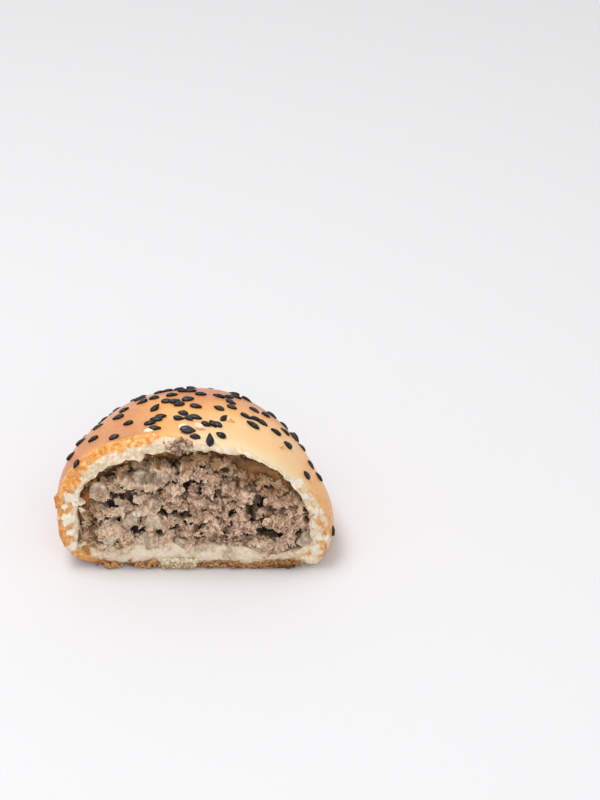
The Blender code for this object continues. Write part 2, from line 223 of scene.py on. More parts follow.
# Torn and browned dough at the cut, and small things on the skin
BASE_RIND = (  # millimetres across the cut, and how much of the dough there is brown from below
    (-30.0, 0.1), (-22.6, 0.2), (-20.0, 0.42), (-16.5, 0.22), (-13.5, 0.42), (-9.0, 0.46), (-7.5, 0.04),
    (0.5, 0.04), (2.5, 0.36), (12.0, 0.43), (22.0, 0.5), (25.0, 0.06), (31.0, 0.0),
)
BASE_LIFTS = (  # place across, reach and height in millimetres
    (-23.6, 1.2, 1.0), (-16.4, 1.8, 1.3), (4.0, 3.0, 0.7), (18.0, 1.2, 0.5), (26.5, 2.0, 0.7),
)
TEARS = (  # white torn dough on the flanks: pixel, width and height in pixels, turn in degrees
    (70, 497, 18, 9, 5), (63, 507, 8, 5, 20), (80, 504, 8, 8, -40), (66, 520, 13, 11, 0),
    (70, 532, 9, 6, 30), (72, 546, 10, 10, 0), (296, 484, 13, 11, 20), (305, 496, 8, 7, 30),
    (316, 512, 14, 8, 10), (313, 524, 7, 9, 0), (322, 537, 14, 8, -10), (315, 548, 10, 12, 0),
)
TEAR_RELIEF = 0.35 * MM
STAINS = ((86, 550, 7, 11, 25),)  # amber juice in the crumb: pixel, width and height in pixels, turn
CLEFTS = ((81, 536, 6, 24, -8), (84, 498, 5, 12, 10))  # clefts in the crumb, sunk and painted dark as shade
CLEFT_DEPTH = 1.3 * MM
HANGING = (  # shreds of torn dough: pixel, width and height in pixels, turn in degrees
    (75, 503, 13, 7, -25), (82, 509, 8, 6, 35), (299, 487, 7, 4, 0), (322, 537, 8, 4, -20),
)
JUICE = ((253, 458, 8, 6, 20),)  # browned juice: pixel, width and height in pixels, turn
DOUGH_BLOB = (309, 556, 27, 13, 10)  # smooth dough squeezed out at the lower right
CRUST_CHIP = (60, 501, 13, 15, 8)  # a chip of crust that stands off the left flank
FLECKS = (  # pale blisters and hulls on the skin: pixel, width and height in pixels, turn in degrees
    (148, 431, 10, 4, -10), (154, 435, 4, 3, 0), (98, 425, 5, 2, 20),
)
SCABS = ((229, 421, 9, 5, 10), (279, 447, 8, 3, -20), (282, 447, 4, 3, 0))  # brown, given likewise

# Loose flakes, crumbs and chips
FLAKE_COUNT = 1900
FLAKE_GROUPS = (  # millimetres across the cut, reach, height, share, how much lighter
    (-20.3, 2.0, 1.7, 0.11, 1.2), (-11.8, 3.1, 1.7, 0.19, 1.0), (4.0, 3.6, 0.8, 0.11, 0.6),
    (11.0, 3.8, 1.5, 0.19, 0.2), (16.5, 3.2, 1.5, 0.18, 0.2), (21.8, 3.0, 2.1, 0.22, -0.2),
)
CRUMB_COUNT = 800
CRUMB_GROUP = (-3.8, 4.2)  # loose pale crumb under the cut: its middle and reach in millimetres across
CHIP_COUNT = 1100
CHIP_SHARES = (  # angle in degrees, and how thickly the chips lie there
    (6, 0.6), (20, 0.8), (28, 1.4), (70, 1.5), (84, 0.9), (110, 1.0), (150, 1.2), (165, 0.6),
)
MEAT_COUNT = 560
MEAT_REACH = np.array([1.3, 0.4, 0.85]) * MM
FLOOR_CLEARANCE = 0.05 * MM

# The browned lining of the gap round the mince
LINING_ANGLES = (8 * DEG, 200 * DEG)
LINING_DEPTH = (  # angle in degrees, and millimetres behind the cut
    (8, 3.4), (24, 3.0), (40, 2.6), (66, 2.7), (80, 3.4), (150, 3.6), (166, 2.8), (200, 2.8),
)
LINING_TONE_AND_SHADE = (  # angle in degrees, and how light it is: the juice's own colour, darker as painted shade where the gap lies deep under the crust
    (8, 0.4), (24, 0.5), (30, 0.66), (50, 0.58), (60, 0.42), (74, 0.4), (84, 0.46), (150, 0.52),
    (163, 0.55), (171, 0.85), (180, 0.6), (186, 0.25), (192, 0.6), (200, 1.0),
)
LINING_THICKNESS = 0.9 * MM
LINING_OVERLAP = 1.7 * MM
LINING_ROWS = 420
LINING_RING = 36


def smooth_step(low, high, x):
    s = np.clip((x - low) / (high - low), 0.0, 1.0)
    return s * s * (3 - 2 * s)


def smooth_max(a, b, width):
    return 0.5 * (a + b + np.sqrt((a - b) ** 2 + width**2))


def bell(x, middle, spread):
    return np.exp(-(((x - middle) / spread) ** 2))


def window(x, low, low_end, high_start, high):
    """1 from low_end to high_start, falling to 0 at low and high."""
    return smooth_step(low, low_end, x) * (1 - smooth_step(high_start, high, x))


def turned(angle, cut_at=0.0):
    """The angle in degrees, from cut_at up to a full turn more."""
    return np.mod(angle / DEG - cut_at, 360) + cut_at


def along_cut(points, rest=0.0):
    """Points with all but their place across the cut scaled down, for noise that varies along it."""
    return points * (1, rest, rest)


def field(points, size, shift=0.0, octaves=1):
    """Smooth noise over an array of points, from about -1 to 1; size is how far apart its swells lie."""
    total = np.zeros(len(points))
    for octave in range(octaves):
        scaled = points * (2**octave / size) + shift + 13.7 * octave
        total += np.array([noise.noise(p) for p in scaled.tolist()]) / 2**octave
    return total


def vector_field(points, size, shift=0.0):
    return np.stack([field(points, size, shift + 31.0 * k) for k in range(3)], axis=1)


@dataclass
class Form:
    """A half lemon with a flat base: the bun itself, or the hollow in it."""

    half_width: float
    height: float
    length: float
    base: float
    top_power: float
    crest_shift: float
    nub: bool

    def size_at(self, t):
        swell = 1 + SIDE_SWELL * np.sin(math.pi * np.minimum(t / SWELL_END, 1))
        half_width = self.half_width * (1 - t**PLAN_POWER) ** PLAN_ROUNDING * swell
        height = self.height * (1 - t**RIDGE_POWER) ** RIDGE_ROUNDING
        if not self.nub:
            return half_width, height, self.base + 0 * t
        across = np.sqrt(np.maximum(0.0, 1 - ((t - NUB_PLACE) / (1 - NUB_PLACE)) ** 2))
        neck = NECK_BLEND * smooth_step(*NECK_RISE, t) * (1 - smooth_step(*NECK_FALL, t))
        pinched = half_width * (1 - TIP_PINCH * t**TIP_PINCH_POWER)
        half_width = smooth_max(pinched, NUB_HALF_WIDTH * across, neck)
        height = smooth_max(height, NUB_HEIGHT * across, neck)
        return half_width, height, self.base + NUB_LIFT * smooth_step(LIFT_START, 1.0, t)

    def points(self, t, angle, shrink=0.0):
        """Points of the surface at places t along the half, 0 to 1, and at angles round the section."""
        t, angle, shrink = np.broadcast_arrays(np.asarray(t, float), np.asarray(angle, float), shrink)
        half_width, height, base = self.size_at(t)
        half_width = np.maximum(half_width, TINY)
        height = np.maximum(height, TINY)
        belly = BELLY_LEVEL * height
        across = np.abs(np.cos(angle)) / half_width
        up = np.maximum(np.sin(angle), 0) / (height - belly)
        down = np.maximum(-np.sin(angle), 0) / (belly * BASE_OVERSHOOT)
        above = (across**self.top_power + up**self.top_power) ** (-1 / self.top_power)
        below = (across**BASE_POWER + down**BASE_POWER) ** (-1 / BASE_POWER)
        reach = np.maximum(np.where(np.sin(angle) >= 0, above, below) - shrink, 0)
        x = reach * np.cos(angle)
        z = np.maximum(belly + reach * np.sin(angle), np.minimum(shrink, belly))
        y = self.length * t
        share = z / height
        z = z + SIDE_SKEW * x * 4 * share * (1 - share)
        x = x + self.crest_shift * share**2 * (height / BUN_HEIGHT) + math.tan(TIP_LEAN) * y
        return np.stack([x, y, base + z], axis=-1)


BUN = Form(CUT_WIDTH / 2, BUN_HEIGHT, HALF_LENGTH, 0.0, TOP_POWER, CREST_SHIFT, True)
HOLLOW = Form(
    CUT_WIDTH / 2 - SIDE_WALL,
    BUN_HEIGHT - TOP_WALL - BASE_WALL,
    HALF_LENGTH - TIP_WALL,
    BASE_WALL,
    HOLLOW_TOP_POWER,
    HOLLOW_CREST_SHIFT,
    False,
)


def lumpy(points):
    """The uneven dough of the crust node."""
    push = LUMP_HEIGHT * field(points, LUMP_SIZE) * smooth_step(0, LUMP_START, points[:, 2])
    outward = points * (1, LUMP_TILT, 1)
    outward = outward / np.linalg.norm(outward, axis=1, keepdims=True)
    return points + outward * push[:, None]


def lip_setback(angle):
    upward = np.maximum(0.0, np.sin(angle))
    return LIP_SLOPE * (LIP_SLOPE_AT_BASE + (1 - LIP_SLOPE_AT_BASE) * upward)


def gap_at(t, angle):
    """How far the filling keeps from the hollow's wall."""
    fade = 1 - smooth_step(0, GAP_DEPTH, t * HOLLOW.length)
    crest = CREST_GAP * smooth_step(*CREST_REACH, np.sin(angle))
    shoulder = SHOULDER_GAP * bell(angle, *SHOULDER_ANGLES)
    flank = FLANK_GAP * bell(angle, *FLANK_ANGLES)
    return CLEARANCE + fade * (crest + shoulder + flank)


def ring_angles(count, base_share=0.3):
    """Angles at even steps round the cut's outline, with a given share of them along the flat base."""
    fine = np.linspace(0, 2 * math.pi, 2881)
    outline = BUN.points(0.0, fine)
    step = np.linalg.norm(np.diff(outline, axis=0), axis=1)
    on_base = outline[1:, 2] < TINY
    weight = np.where(on_base, base_share / step[on_base].sum(), (1 - base_share) / step[~on_base].sum())
    total = np.concatenate([[0.0], np.cumsum(weight * step)])
    return np.interp(np.arange(count) / count, total / total[-1], fine)


# The camera's view, for placing what the photograph shows

RIGHT = Vector((1, 0, 0))
UP = Vector((0, math.sin(ELEVATION), math.cos(ELEVATION)))
FORWARD = Vector((0, math.cos(ELEVATION), -math.sin(ELEVATION)))


def camera_place():
    """The camera in the cut's frame: the foot of the cut falls on CUT_FOOT."""
    across = (CUT_FOOT[0] - PHOTO_WIDTH / 2) * PIXEL
    upward = (PHOTO_HEIGHT / 2 - CUT_FOOT[1]) * PIXEL
    return -(RIGHT * across + UP * upward + FORWARD * DISTANCE)


def ray(u, v):
    """The direction in which the camera sees a pixel."""
    across = (u - PHOTO_WIDTH / 2) * PIXEL
    upward = (PHOTO_HEIGHT / 2 - v) * PIXEL
    return (FORWARD * DISTANCE + RIGHT * across + UP * upward).normalized()


def on_cut(u, v, depth=0.0):
    """Where a pixel meets the plane at a depth behind the cut."""
    start = camera_place()
    direction = ray(u, v)
    return start + direction * ((depth - start.y) / direction.y)


def pixels_of(points):
    """The pixel at which the camera sees each point, as two arrays."""
    moved = points - np.array(camera_place())
    depth = moved @ np.array(FORWARD) / DISTANCE
    u = PHOTO_WIDTH / 2 + moved @ np.array(RIGHT) / depth / PIXEL
    v = PHOTO_HEIGHT / 2 - moved @ np.array(UP) / depth / PIXEL
    return u, v


def in_patches(points, patches, wander):
    """1 inside the patches given as pixel, size and turn, 0 well outside; wander roughens the edges."""
    u, v = pixels_of(points)
    rough = wander * field(points, 1.6 * MM, 33.0, 3)
    nearest = np.full(len(points), 9.0)
    for middle_u, middle_v, width, height, turn in patches:
        c, s = math.cos(turn * DEG), math.sin(turn * DEG)
        du, dv = u - middle_u, middle_v - v
        along = (du * c + dv * s) / (0.5 * width)
        across = (dv * c - du * s) / (0.5 * height)
        nearest = np.minimum(nearest, np.hypot(along, across))
    return 1 - smooth_step(0.65, 1.2, nearest + rough)


# Meshes


def linked(name, data):
    obj = bpy.data.objects.new(name, data)
    bpy.context.scene.collection.objects.link(obj)
    return obj


def new_object(name, points, faces, attributes=None, smooth=True):
    """A mesh object from arrays in the cut's frame; attributes are numbers for each point."""
    mesh = bpy.data.meshes.new(name)
    placed = np.asarray(points, float) - np.array(MIDDLE)
    mesh.from_pydata(placed.tolist(), [], [list(f) for f in faces])
    mesh.polygons.foreach_set("use_smooth", [smooth] * len(mesh.polygons))
    for key, values in (attributes or {}).items():
        layer = mesh.attributes.new(key, "FLOAT", "POINT")
        layer.data.foreach_set("value", np.asarray(values, np.float32))
    mesh.update()
    return linked(name, mesh)


def closed(points, columns):
    """The points of a tube of rings, and the middles of its first and last ring."""
    return np.vstack([points, points[:columns].mean(axis=0), points[-columns:].mean(axis=0)])


def shaken(points, size, shift, amount):
    """The points moved about by smooth noise; amount is one number or one for each point."""
    return points + vector_field(points, size, shift) * np.reshape(amount, (-1, 1))


def grid_faces(rows, columns):
    """Quads of a closed tube of rings, and a fan at each end to the two points after the grid.

    They face outward where the rings run from the bun's tip to its cut.
    """
    row = np.arange(rows - 1)[:, None] * columns
    k = np.arange(columns)[None, :]
    n = (k + 1) % columns
    quads = np.stack([row + k, row + n, row + columns + n, row + columns + k], axis=-1).reshape(-1, 4)
    faces = quads.tolist()
    first, last = rows * columns, rows * columns + 1
    for a in range(columns):
        b = (a + 1) % columns
        faces.append((b, a, first))
        faces.append(((rows - 1) * columns + a, (rows - 1) * columns + b, last))
    return faces


def icosphere(subdivisions):
    bm = bmesh.new()
    bmesh.ops.create_icosphere(bm, subdivisions=subdivisions, radius=1.0)
    points = np.array([v.co[:] for v in bm.verts])
    faces = np.array([[v.index for v in f.verts] for f in bm.faces])
    bm.free()
    return points, faces


def copies(template, matrices):
    """Points and faces of a shape repeated at each of the 4 by 4 matrices."""
    points, faces = template
    matrices = np.asarray(matrices)
    placed = np.einsum("nij,pj->npi", matrices[:, :3, :3], points) + matrices[:, None, :3, 3]
    shift = np.arange(len(matrices))[:, None, None] * len(points)
    return placed.reshape(-1, 3), (faces[None] + shift).reshape(-1, faces.shape[1])


def random_rotations(spread, count):
    q = spread.normal(size=(count, 4))
    w, x, y, z = (q / np.linalg.norm(q, axis=1, keepdims=True)).T
    rows = np.array([
        [1 - 2 * (y * y + z * z), 2 * (x * y - z * w), 2 * (x * z + y * w)],
        [2 * (x * y + z * w), 1 - 2 * (x * x + z * z), 2 * (y * z - x * w)],
        [2 * (x * z - y * w), 2 * (y * z + x * w), 1 - 2 * (x * x + y * y)],
    ])
    return rows.transpose(2, 0, 1)


def placed_matrices(rotations, sizes, places):
    matrices = np.tile(np.eye(4), (len(places), 1, 1))
    matrices[:, :3, :3] = rotations * sizes[:, None, :]
    matrices[:, :3, 3] = places
    return matrices


# The dough

COLUMNS = 560
SKIN_ROWS = 112
RIM_ROWS = 26
HOLLOW_ROWS = 12


def make_dough():
    angles = ring_angles(COLUMNS)
    s = np.linspace(0, 1, SKIN_ROWS + 1)[:-1]
    t_skin = np.sin(0.5 * math.pi * (0.45 * s + 0.55 * s * s))[::-1]

    # the skin's edge at the cut is drawn back, and the rows behind it are moved along less and less
    skin = lumpy(BUN.points(t_skin[:, None], angles[None, :]).reshape(-1, 3))
    back = np.repeat(t_skin * HALF_LENGTH, COLUMNS)
    around = np.tile(angles, SKIN_ROWS)
    near_cut = np.exp(-back / LIP_REACH)
    skin[:, 1] += (lip_setback(around) + ragged_edge(skin)) * near_cut
    skin = shaken(skin, 6 * MM, 2.0, 0.12 * MM)
    skin = shaken(skin, 1.6 * MM, 6.0, 0.22 * MM * near_cut * on_flank(around))

    outside = lumpy(BUN.points(0.0, angles))
    inside = HOLLOW.points(0.0, angles)
    shares = (np.arange(RIM_ROWS) + 0.6) / RIM_ROWS
    rim = (outside[None] + (inside - outside)[None] * shares[:, None, None]).reshape(-1, 3)
    share = np.repeat(shares, COLUMNS)
    around_rim = np.tile(angles, RIM_ROWS)
    edge = np.tile(ragged_edge(outside), RIM_ROWS)
    rim[:, 1] = (lip_setback(around_rim) + edge) * (1 - share) ** RIM_CURVE
    rim[:, 1] -= 0.5 * MM * np.sin(math.pi * share) * np.maximum(np.sin(around_rim), 0.2)
    rough = smooth_step(0.0, 0.25, share) * (1 + 1.2 * on_flank(around_rim))
    rim = shaken(rim, 3.2 * MM, 8.0, CRUMB_SWELL * rough)
    rim = shaken(rim, 1.0 * MM, 4.0, CRUMB_GRAIN * rough)
    teeth = smooth_step(0.6, 1.0, share) * smooth_step(-0.6, 0.0, np.sin(around_rim))
    rim += inner_teeth(rim) * teeth[:, None]
    rim[:, 2] += foot_rise(rim) * share**1.6

    t_hollow = np.sin(0.5 * math.pi * np.arange(HOLLOW_ROWS) / HOLLOW_ROWS)
    hollow = HOLLOW.points(t_hollow[:, None], angles[None, :]).reshape(-1, 3)
    depth = np.repeat(t_hollow * HOLLOW.length, COLUMNS)
    hollow[:, 1] += 0.8 * MM * np.exp(-depth / (4 * MM))
    hollow += inner_teeth(hollow) * np.maximum(np.exp(-depth / (2 * MM)), 0.4)[:, None]
    hollow[:, 2] += foot_rise(hollow) * np.exp(-depth / (3 * MM))

    torn_skin = in_patches(skin, TEARS, 0.8) * (back < 8 * MM)
    torn_rim = in_patches(rim, TEARS, 0.8)
    for part, torn in ((skin, torn_skin), (rim, torn_rim)):
        part[:, 1] -= TEAR_RELIEF * torn * (1 + field(part, 1.1 * MM, 41.0, 2))
    stained = in_patches(rim, STAINS, 0.6)
    cleft = in_patches(rim, CLEFTS, 0.6)
    rim[:, 1] += CLEFT_DEPTH * np.maximum(cleft, 0.6 * stained)
    points = np.concatenate([skin, rim, hollow])
    around_all = np.concatenate([around, around_rim, np.tile(angles, HOLLOW_ROWS)])
    low = 1 - smooth_step(0, 3 * MM, points[:, 2])
    points[:, 2] += front_lift(points) * np.exp(-np.maximum(points[:, 1], 0) / (2.5 * MM)) * low
    tip = BUN.points(0.99999, np.array([0.5 * math.pi, -0.5 * math.pi])).mean(axis=0)
    end = hollow[-COLUMNS:].mean(axis=0) + (0, 0.5 * MM, 0)

    on_base = bell(around_rim, 1.5 * math.pi, 1.1)
    rind = np.maximum(rind_share(around_rim), base_rind(rim) * on_base)
    uneven = 0.07 * field(rim, 1.4 * MM, 15.0, 2) + 0.1 * field(rim, 5 * MM, 16.0)
    crumb = smooth_step(rind - 0.14, rind + 0.18, share + uneven)
    crumb = crumb * (1 - pits(rim) * on_flank(around_rim) * (1 - smooth_step(0.55, 0.85, share)))
    crumb = crumb * (1 - stained)
    bared = on_right_flank(around) * (1 - smooth_step(1.5 * MM, 5 * MM, back)) * (1 - 0.8 * pits(skin))
    wall = np.tile(smooth_step(-0.75, -0.35, np.sin(angles)), HOLLOW_ROWS) * smooth_step(0, 0.9 * MM, depth)
    gold = on_right_flank(around) * np.exp(-back / (14 * MM))
    under = 1 - smooth_step(0.3 * MM, 1.5 * MM, points[:, 2])
    on_rim = slice(len(skin), len(skin) + len(rim))
    under[on_rim] = np.maximum(under[on_rim], (1 - crumb) * on_base)
    foot = np.clip(foot_rise(rim) / FOOT_RISE, 0, 1)

    def joined(on_skin, on_rim, in_hollow=0.0, at_end=0.0):
        """Values for all points: those of the skin, the rim, the hollow, the tip and the end."""
        return np.concatenate([on_skin, on_rim, np.zeros(len(hollow)) + in_hollow, [0.0, at_end]])

    attributes = {
        "crumb": joined(np.maximum(torn_skin, bared), np.maximum(crumb, torn_rim), 1.0, 1.0),
        "white": joined(torn_skin, np.maximum(torn_rim, 0.55 * foot)),
        # juice soak in the stains and the hollow's wall, and painted shade in the clefts
        "soak_and_cleft_shade": joined(np.zeros(len(skin)), np.maximum(0.9 * cleft, 0.4 * stained), wall, 1.0),
        "browning": np.append(browning_of(points, around_all), [0.5, 0]),
        "fried": joined(
            np.maximum(np.exp(-back / (2.2 * MM)) * fried_band(around), 0.6 * gold),
            (1 - crumb) * np.maximum(fried_band(around_rim), 0.25),
        ),
        "fading": joined(pale_lip(around) * np.exp(-((back / (4 * MM)) ** 2)), pale_lip(around_rim)),
        "underside": np.append(under, [0, 0]),
    }
    points = np.vstack([points, tip, end])
    points[:, 2] = np.maximum(points[:, 2], 0.0)
    rows = SKIN_ROWS + RIM_ROWS + HOLLOW_ROWS
    return new_object("crust_dough", points, grid_faces(rows, COLUMNS), attributes)


def inner_teeth(points):
    """The ragged inner edge of the crumb: small teeth, in places long ones."""
    flat = points * (1, 0.3, 1)
    strong = INNER_TEETH * (0.4 + 1.2 * smooth_step(-0.1, 0.4, field(flat, 7 * MM, 19.0)))
    return (vector_field(flat, 1.5 * MM, 11.0) + vector_field(flat, 3.6 * MM, 12.0)) * strong[:, None]


def foot_rise(points):
    """How far the dough rises at the foot of the mince, for points at the foot."""
    low = 1 - smooth_step(5 * MM, 9 * MM, points[:, 2])
    uneven = 1 + 0.6 * field(along_cut(points), 4 * MM, 27.0, 2)
    return FOOT_RISE * window(points[:, 0], *FOOT_REACH) * low * uneven


def front_lift(points):
    """How far the base curls up at the cut: in places well off the table."""
    lift = FRONT_LIFT * (1 + 2.2 * field(along_cut(points, 0.4), 3.5 * MM, 21.0, 2))
    for middle, reach, height in BASE_LIFTS:
        lift = lift + height * MM * bell(points[:, 0], middle * MM, reach * MM)
    return lift


def base_rind(points):
    """How much of the cut is brown above the base, by its place across."""
    share = np.interp(points[:, 0] / MM, *zip(*BASE_RIND))
    return share + 0.1 * field(along_cut(points), 2.5 * MM, 29.0, 2) * (share > 0.1)


def pits(points):
    """Where the torn flanks show golden pits instead of crumb."""
    return smooth_step(-0.14, 0.06, field(points, 2.4 * MM, 61.0, 2))


def ragged_edge(points):
    """How far the skin's torn edge wanders along the bun."""
    return 0.45 * MM * field(points * (1, 0, 1), 2.2 * MM, 5.0, 2)


# Angles below run from 0 at the right of the cut, over the crest at 90, in degrees


def on_right_flank(angle):
    return window(turned(angle, -180), -32, -14, 22, 34)


def on_flank(angle):
    """1 on the two flanks low down, where the cut has torn the dough."""
    at = turned(angle)
    right = np.maximum(bell(at, 8, 18), bell(at, 352, 18))
    return np.maximum(bell(at, 172, 24), 0.8 * right)


def rind_share(angle):
    """How much of the cut rim is baked brown, from the skin inward."""
    at = turned(angle)
    left = 0.36 * window(at, 88, 112, 194.8, 217.7)
    right = 0.06 * np.maximum(1 - smooth_step(8, 40, at), at > 309.4)
    return 0.03 + np.maximum(np.maximum(left, right), 0.3 * window(at, 25, 45, 88, 100))


def pale_lip(angle):
    """Where the skin pales into the crumb: over the right shoulder."""
    return window(turned(angle), 14, 34, 74, 96)


def fried_band(angle):
    """Where the skin's cut edge is orange: over the left shoulder and down both flanks."""
    return np.maximum(window(angle / DEG, 82, 115, 189, 212), 0.75 * on_right_flank(angle))


def browning_of(points, angle):
    """How brown the skin is baked, from 0 to 1."""
    y, z = points[:, 1], points[:, 2]
    at = turned(angle, -180)
    left = 0.58 * smooth_step(88, 122, np.abs(at))
    right = 0.26 * (1 - smooth_step(14, 40, at))
    back = 0.62 * smooth_step(10 * MM, 34 * MM, y)
    pale = 0.3 * bell(at, 60, 20) * (1 - smooth_step(5 * MM, 18 * MM, y))
    base = 0.4 * (1 - smooth_step(0.3 * MM, 4.5 * MM, z)) * (1 - 0.8 * bell(at, -14.3, 28.6))
    value = np.maximum(np.maximum(left, right), back) + 0.15 * bell(at, 88, 26) + base - pale
    return np.clip(value + 0.14 * field(points, 14 * MM, 3.0, 2), 0, 1)


# The filling


def smooth_face(points):
    """How far behind the cut the broken face of the mince lies, apart from its masses and crevices."""
    flat = points * (1, 0, 1)
    return FACE_RECESS - FACE_RELIEF * (field(flat, 11 * MM, 1.0) + 0.5 * field(flat, 5 * MM, 2.0))


def across_strata(points):
    """Places on the face turned along the mince's layers and drawn together along them."""
    x, z = points[:, 0], points[:, 2]
    c, s = math.cos(STRATA_SLOPE), math.sin(STRATA_SLOPE)
    return np.stack([(x * c + z * s) / MASS_FLATNESS, z * c - x * s], axis=1)


def mass_middles():
    spread = np.random.default_rng(61)
    steps = np.arange(-45, 45, MASS_SPACING / MM) * MM
    grid = np.stack(np.meshgrid(steps, steps), axis=-1).reshape(-1, 2)
    return grid + spread.uniform(-0.42, 0.42, grid.shape) * MASS_SPACING


def masses_of(points):
    """Which mass of mince each point of the face is in, and 1 in the grooves between masses."""
    middles = mass_middles()
    flat = points * (1, 0, 1)
    wander = np.stack([field(flat, 3 * MM, 71.0, 2), field(flat, 3 * MM, 72.0, 2)], axis=1) * 1.1 * MM
    places = across_strata(flat) + wander
    which = np.empty(len(points), int)
    edge = np.empty(len(points))
    for first in range(0, len(points), AT_ONCE):
        part = slice(first, first + AT_ONCE)
        distance = np.linalg.norm(places[part, None] - middles[None], axis=2)
        nearest = np.partition(distance, 1, axis=1)
        which[part] = distance.argmin(axis=1)
        edge[part] = nearest[:, 1] - nearest[:, 0]
    return which, np.exp(-((edge / GROOVE_WIDTH) ** 2))


def face_depth(points):
    """How far behind the cut the mince's face lies: masses, with grooves and crevices between."""
    which, groove = masses_of(points)
    shift = np.random.default_rng(62).uniform(-1, 1, len(mass_middles()))
    sunk = CREVICE_SINK * crevice_nearness(points)
    return smooth_face(points) + MASS_SHIFT * shift[which] + np.maximum(GROOVE_DEPTH * groove, sunk)


def distance_to_line(points, line):
    best = np.full(len(points), np.inf)
    for a, b in zip(line, line[1:]):
        a, b = np.array(a), np.array(b)
        along = np.clip(((points - a) @ (b - a)) / ((b - a) @ (b - a)), 0, 1)
        best = np.minimum(best, np.linalg.norm(points - a - along[:, None] * (b - a), axis=1))
    return best


def crevice_distance(points):
    """How far each point of the face lies from the crevices; the wide ones count as nearer."""
    flat = points[:, [0, 2]]
    nearest = np.full(len(points), np.inf)
    for lines, widening in ((CREVICES, 0.0), (WIDE_CREVICES, 0.7 * CREVICE_WIDTH)):
        for line in lines:
            line = [on_cut(u, v, FACE_RECESS) for u, v in line]
            nearest = np.minimum(nearest, distance_to_line(flat, [(p.x, p.z) for p in line]) - widening)
    return nearest


def crevice_nearness(points):
    wander = 0.5 * MM * field(points * (1, 0, 1), 1.6 * MM, 73.0, 2)
    return 1 - smooth_step(0.5 * CREVICE_WIDTH, 1.9 * CREVICE_WIDTH, crevice_distance(points) + wander)


def filling_edge(angle, margin, t=0.0):
    return HOLLOW.points(t, angle, gap_at(t, angle) + margin)


FACE_MIDDLE = np.array([0.0, 0.0, BASE_WALL + 0.42 * HOLLOW.height])


def inside_face(points, margin):
    """Which points lie within the outline of the filling's face, drawn in by a margin."""
    flat = points - FACE_MIDDLE
    angle = np.arctan2(flat[:, 2], flat[:, 0])
    fine = np.linspace(0, 2 * math.pi, 721)
    outline = filling_edge(fine, margin) - FACE_MIDDLE
    outline_angle = np.unwrap(np.arctan2(outline[:, 2], outline[:, 0]))
    radius = np.linalg.norm(outline[:, [0, 2]], axis=1)
    first = outline_angle[0]
    wanted = np.interp(np.mod(angle - first, 2 * math.pi), outline_angle - first, radius)
    return np.linalg.norm(flat[:, [0, 2]], axis=1) < wanted


def clump_centres(spread):
    """Places of the mince's clumps over the face, in two layers, none of them in a crevice."""
    layers = []
    for depth, spacing in ((0.0, CLUMP_SPACING), (SECOND_LAYER, 1.15 * CLUMP_SPACING)):
        x, z = np.meshgrid(np.arange(-32, 32, spacing / MM) * MM, np.arange(3, 36, spacing / MM) * MM)
        centres = np.stack([x.ravel(), np.zeros(x.size), z.ravel()], axis=1)
        centres += spread.uniform(-0.45, 0.45, centres.shape) * spacing * (1, 0, 1)
        # the mince falls short of the crust overhead on the left and reaches into the gap on the right
        x, _, z = centres.T
        short = inside_face(centres, UPPER_MARGIN * CLUMP_RADIUS) & (x < UPPER_RIGHT)
        close = inside_face(centres, CLOSE_MARGIN * CLUMP_RADIUS) & (x >= UPPER_RIGHT)
        low = inside_face(centres, LOW_MARGIN * CLUMP_RADIUS) & (z < UPPER_START)
        centres = centres[short | close | low]
        if depth == 0.0:
            centres = centres[in_patches(centres, ONIONS, 0.0) < 0.5]
        near_edge = ~inside_face(centres, 3.2 * MM) & (centres[:, 2] > 9 * MM)
        centres[:, 1] = depth + EDGE_RECESS * near_edge + spread.uniform(-0.3, 0.3, len(centres)) * MM
        apart = crevice_distance(centres)
        layers.append(centres[apart > CREVICE_WIDTH * (1.0 if depth == 0.0 else 0.65)])
    layers.append([(p.x, 0.8 * MM, p.z) for p in (on_cut(u, v, FACE_RECESS) for u, v in ADDED_CLUMPS)])
    return np.concatenate(layers)


def filling_form(first, last, rings, columns):
    """Points and faces of the filling's smooth form between two depths behind the cut."""
    angles = ring_angles(columns)
    t = np.linspace(first, last, rings) / HOLLOW.length
    points = filling_edge(angles[None, :], 0.0, t[:, None]).reshape(-1, 3)
    return closed(points, columns), [f[::-1] for f in grid_faces(rings, columns)]


def triangles(faces):
    out = []
    for f in faces:
        for k in range(1, len(f) - 1):
            out.append((f[0], f[k], f[k + 1]))
    return np.array(out)


def meat(tone, depth, pale=0.0, glazed=0.0):
    """The attributes that the mince's material reads."""
    return {"tone": tone, "depth": depth + 0 * tone, "pale": pale + 0 * tone, "glaze": glazed + 0 * tone}


def remeshed(points, faces, size):
    """Everything in one skin: the points and triangles of a voxel remesh."""
    source = new_object("source", points, faces)
    modifier = source.modifiers.new("voxels", "REMESH")
    modifier.mode = "VOXEL"
    modifier.voxel_size = size
    done = source.evaluated_get(bpy.context.evaluated_depsgraph_get()).to_mesh()
    out = np.empty(len(done.vertices) * 3)
    done.vertices.foreach_get("co", out)
    out_faces = [tuple(p.vertices) for p in done.polygons]
    bpy.data.objects.remove(source)
    return out.reshape(-1, 3) + np.array(MIDDLE), out_faces


def normals_of(points, faces):
    tri = triangles(faces)
    n = np.cross(points[tri[:, 1]] - points[tri[:, 0]], points[tri[:, 2]] - points[tri[:, 0]])
    out = np.zeros_like(points)
    for k in range(3):
        np.add.at(out, tri[:, k], n)
    return out / np.maximum(np.linalg.norm(out, axis=1, keepdims=True), 1e-20)


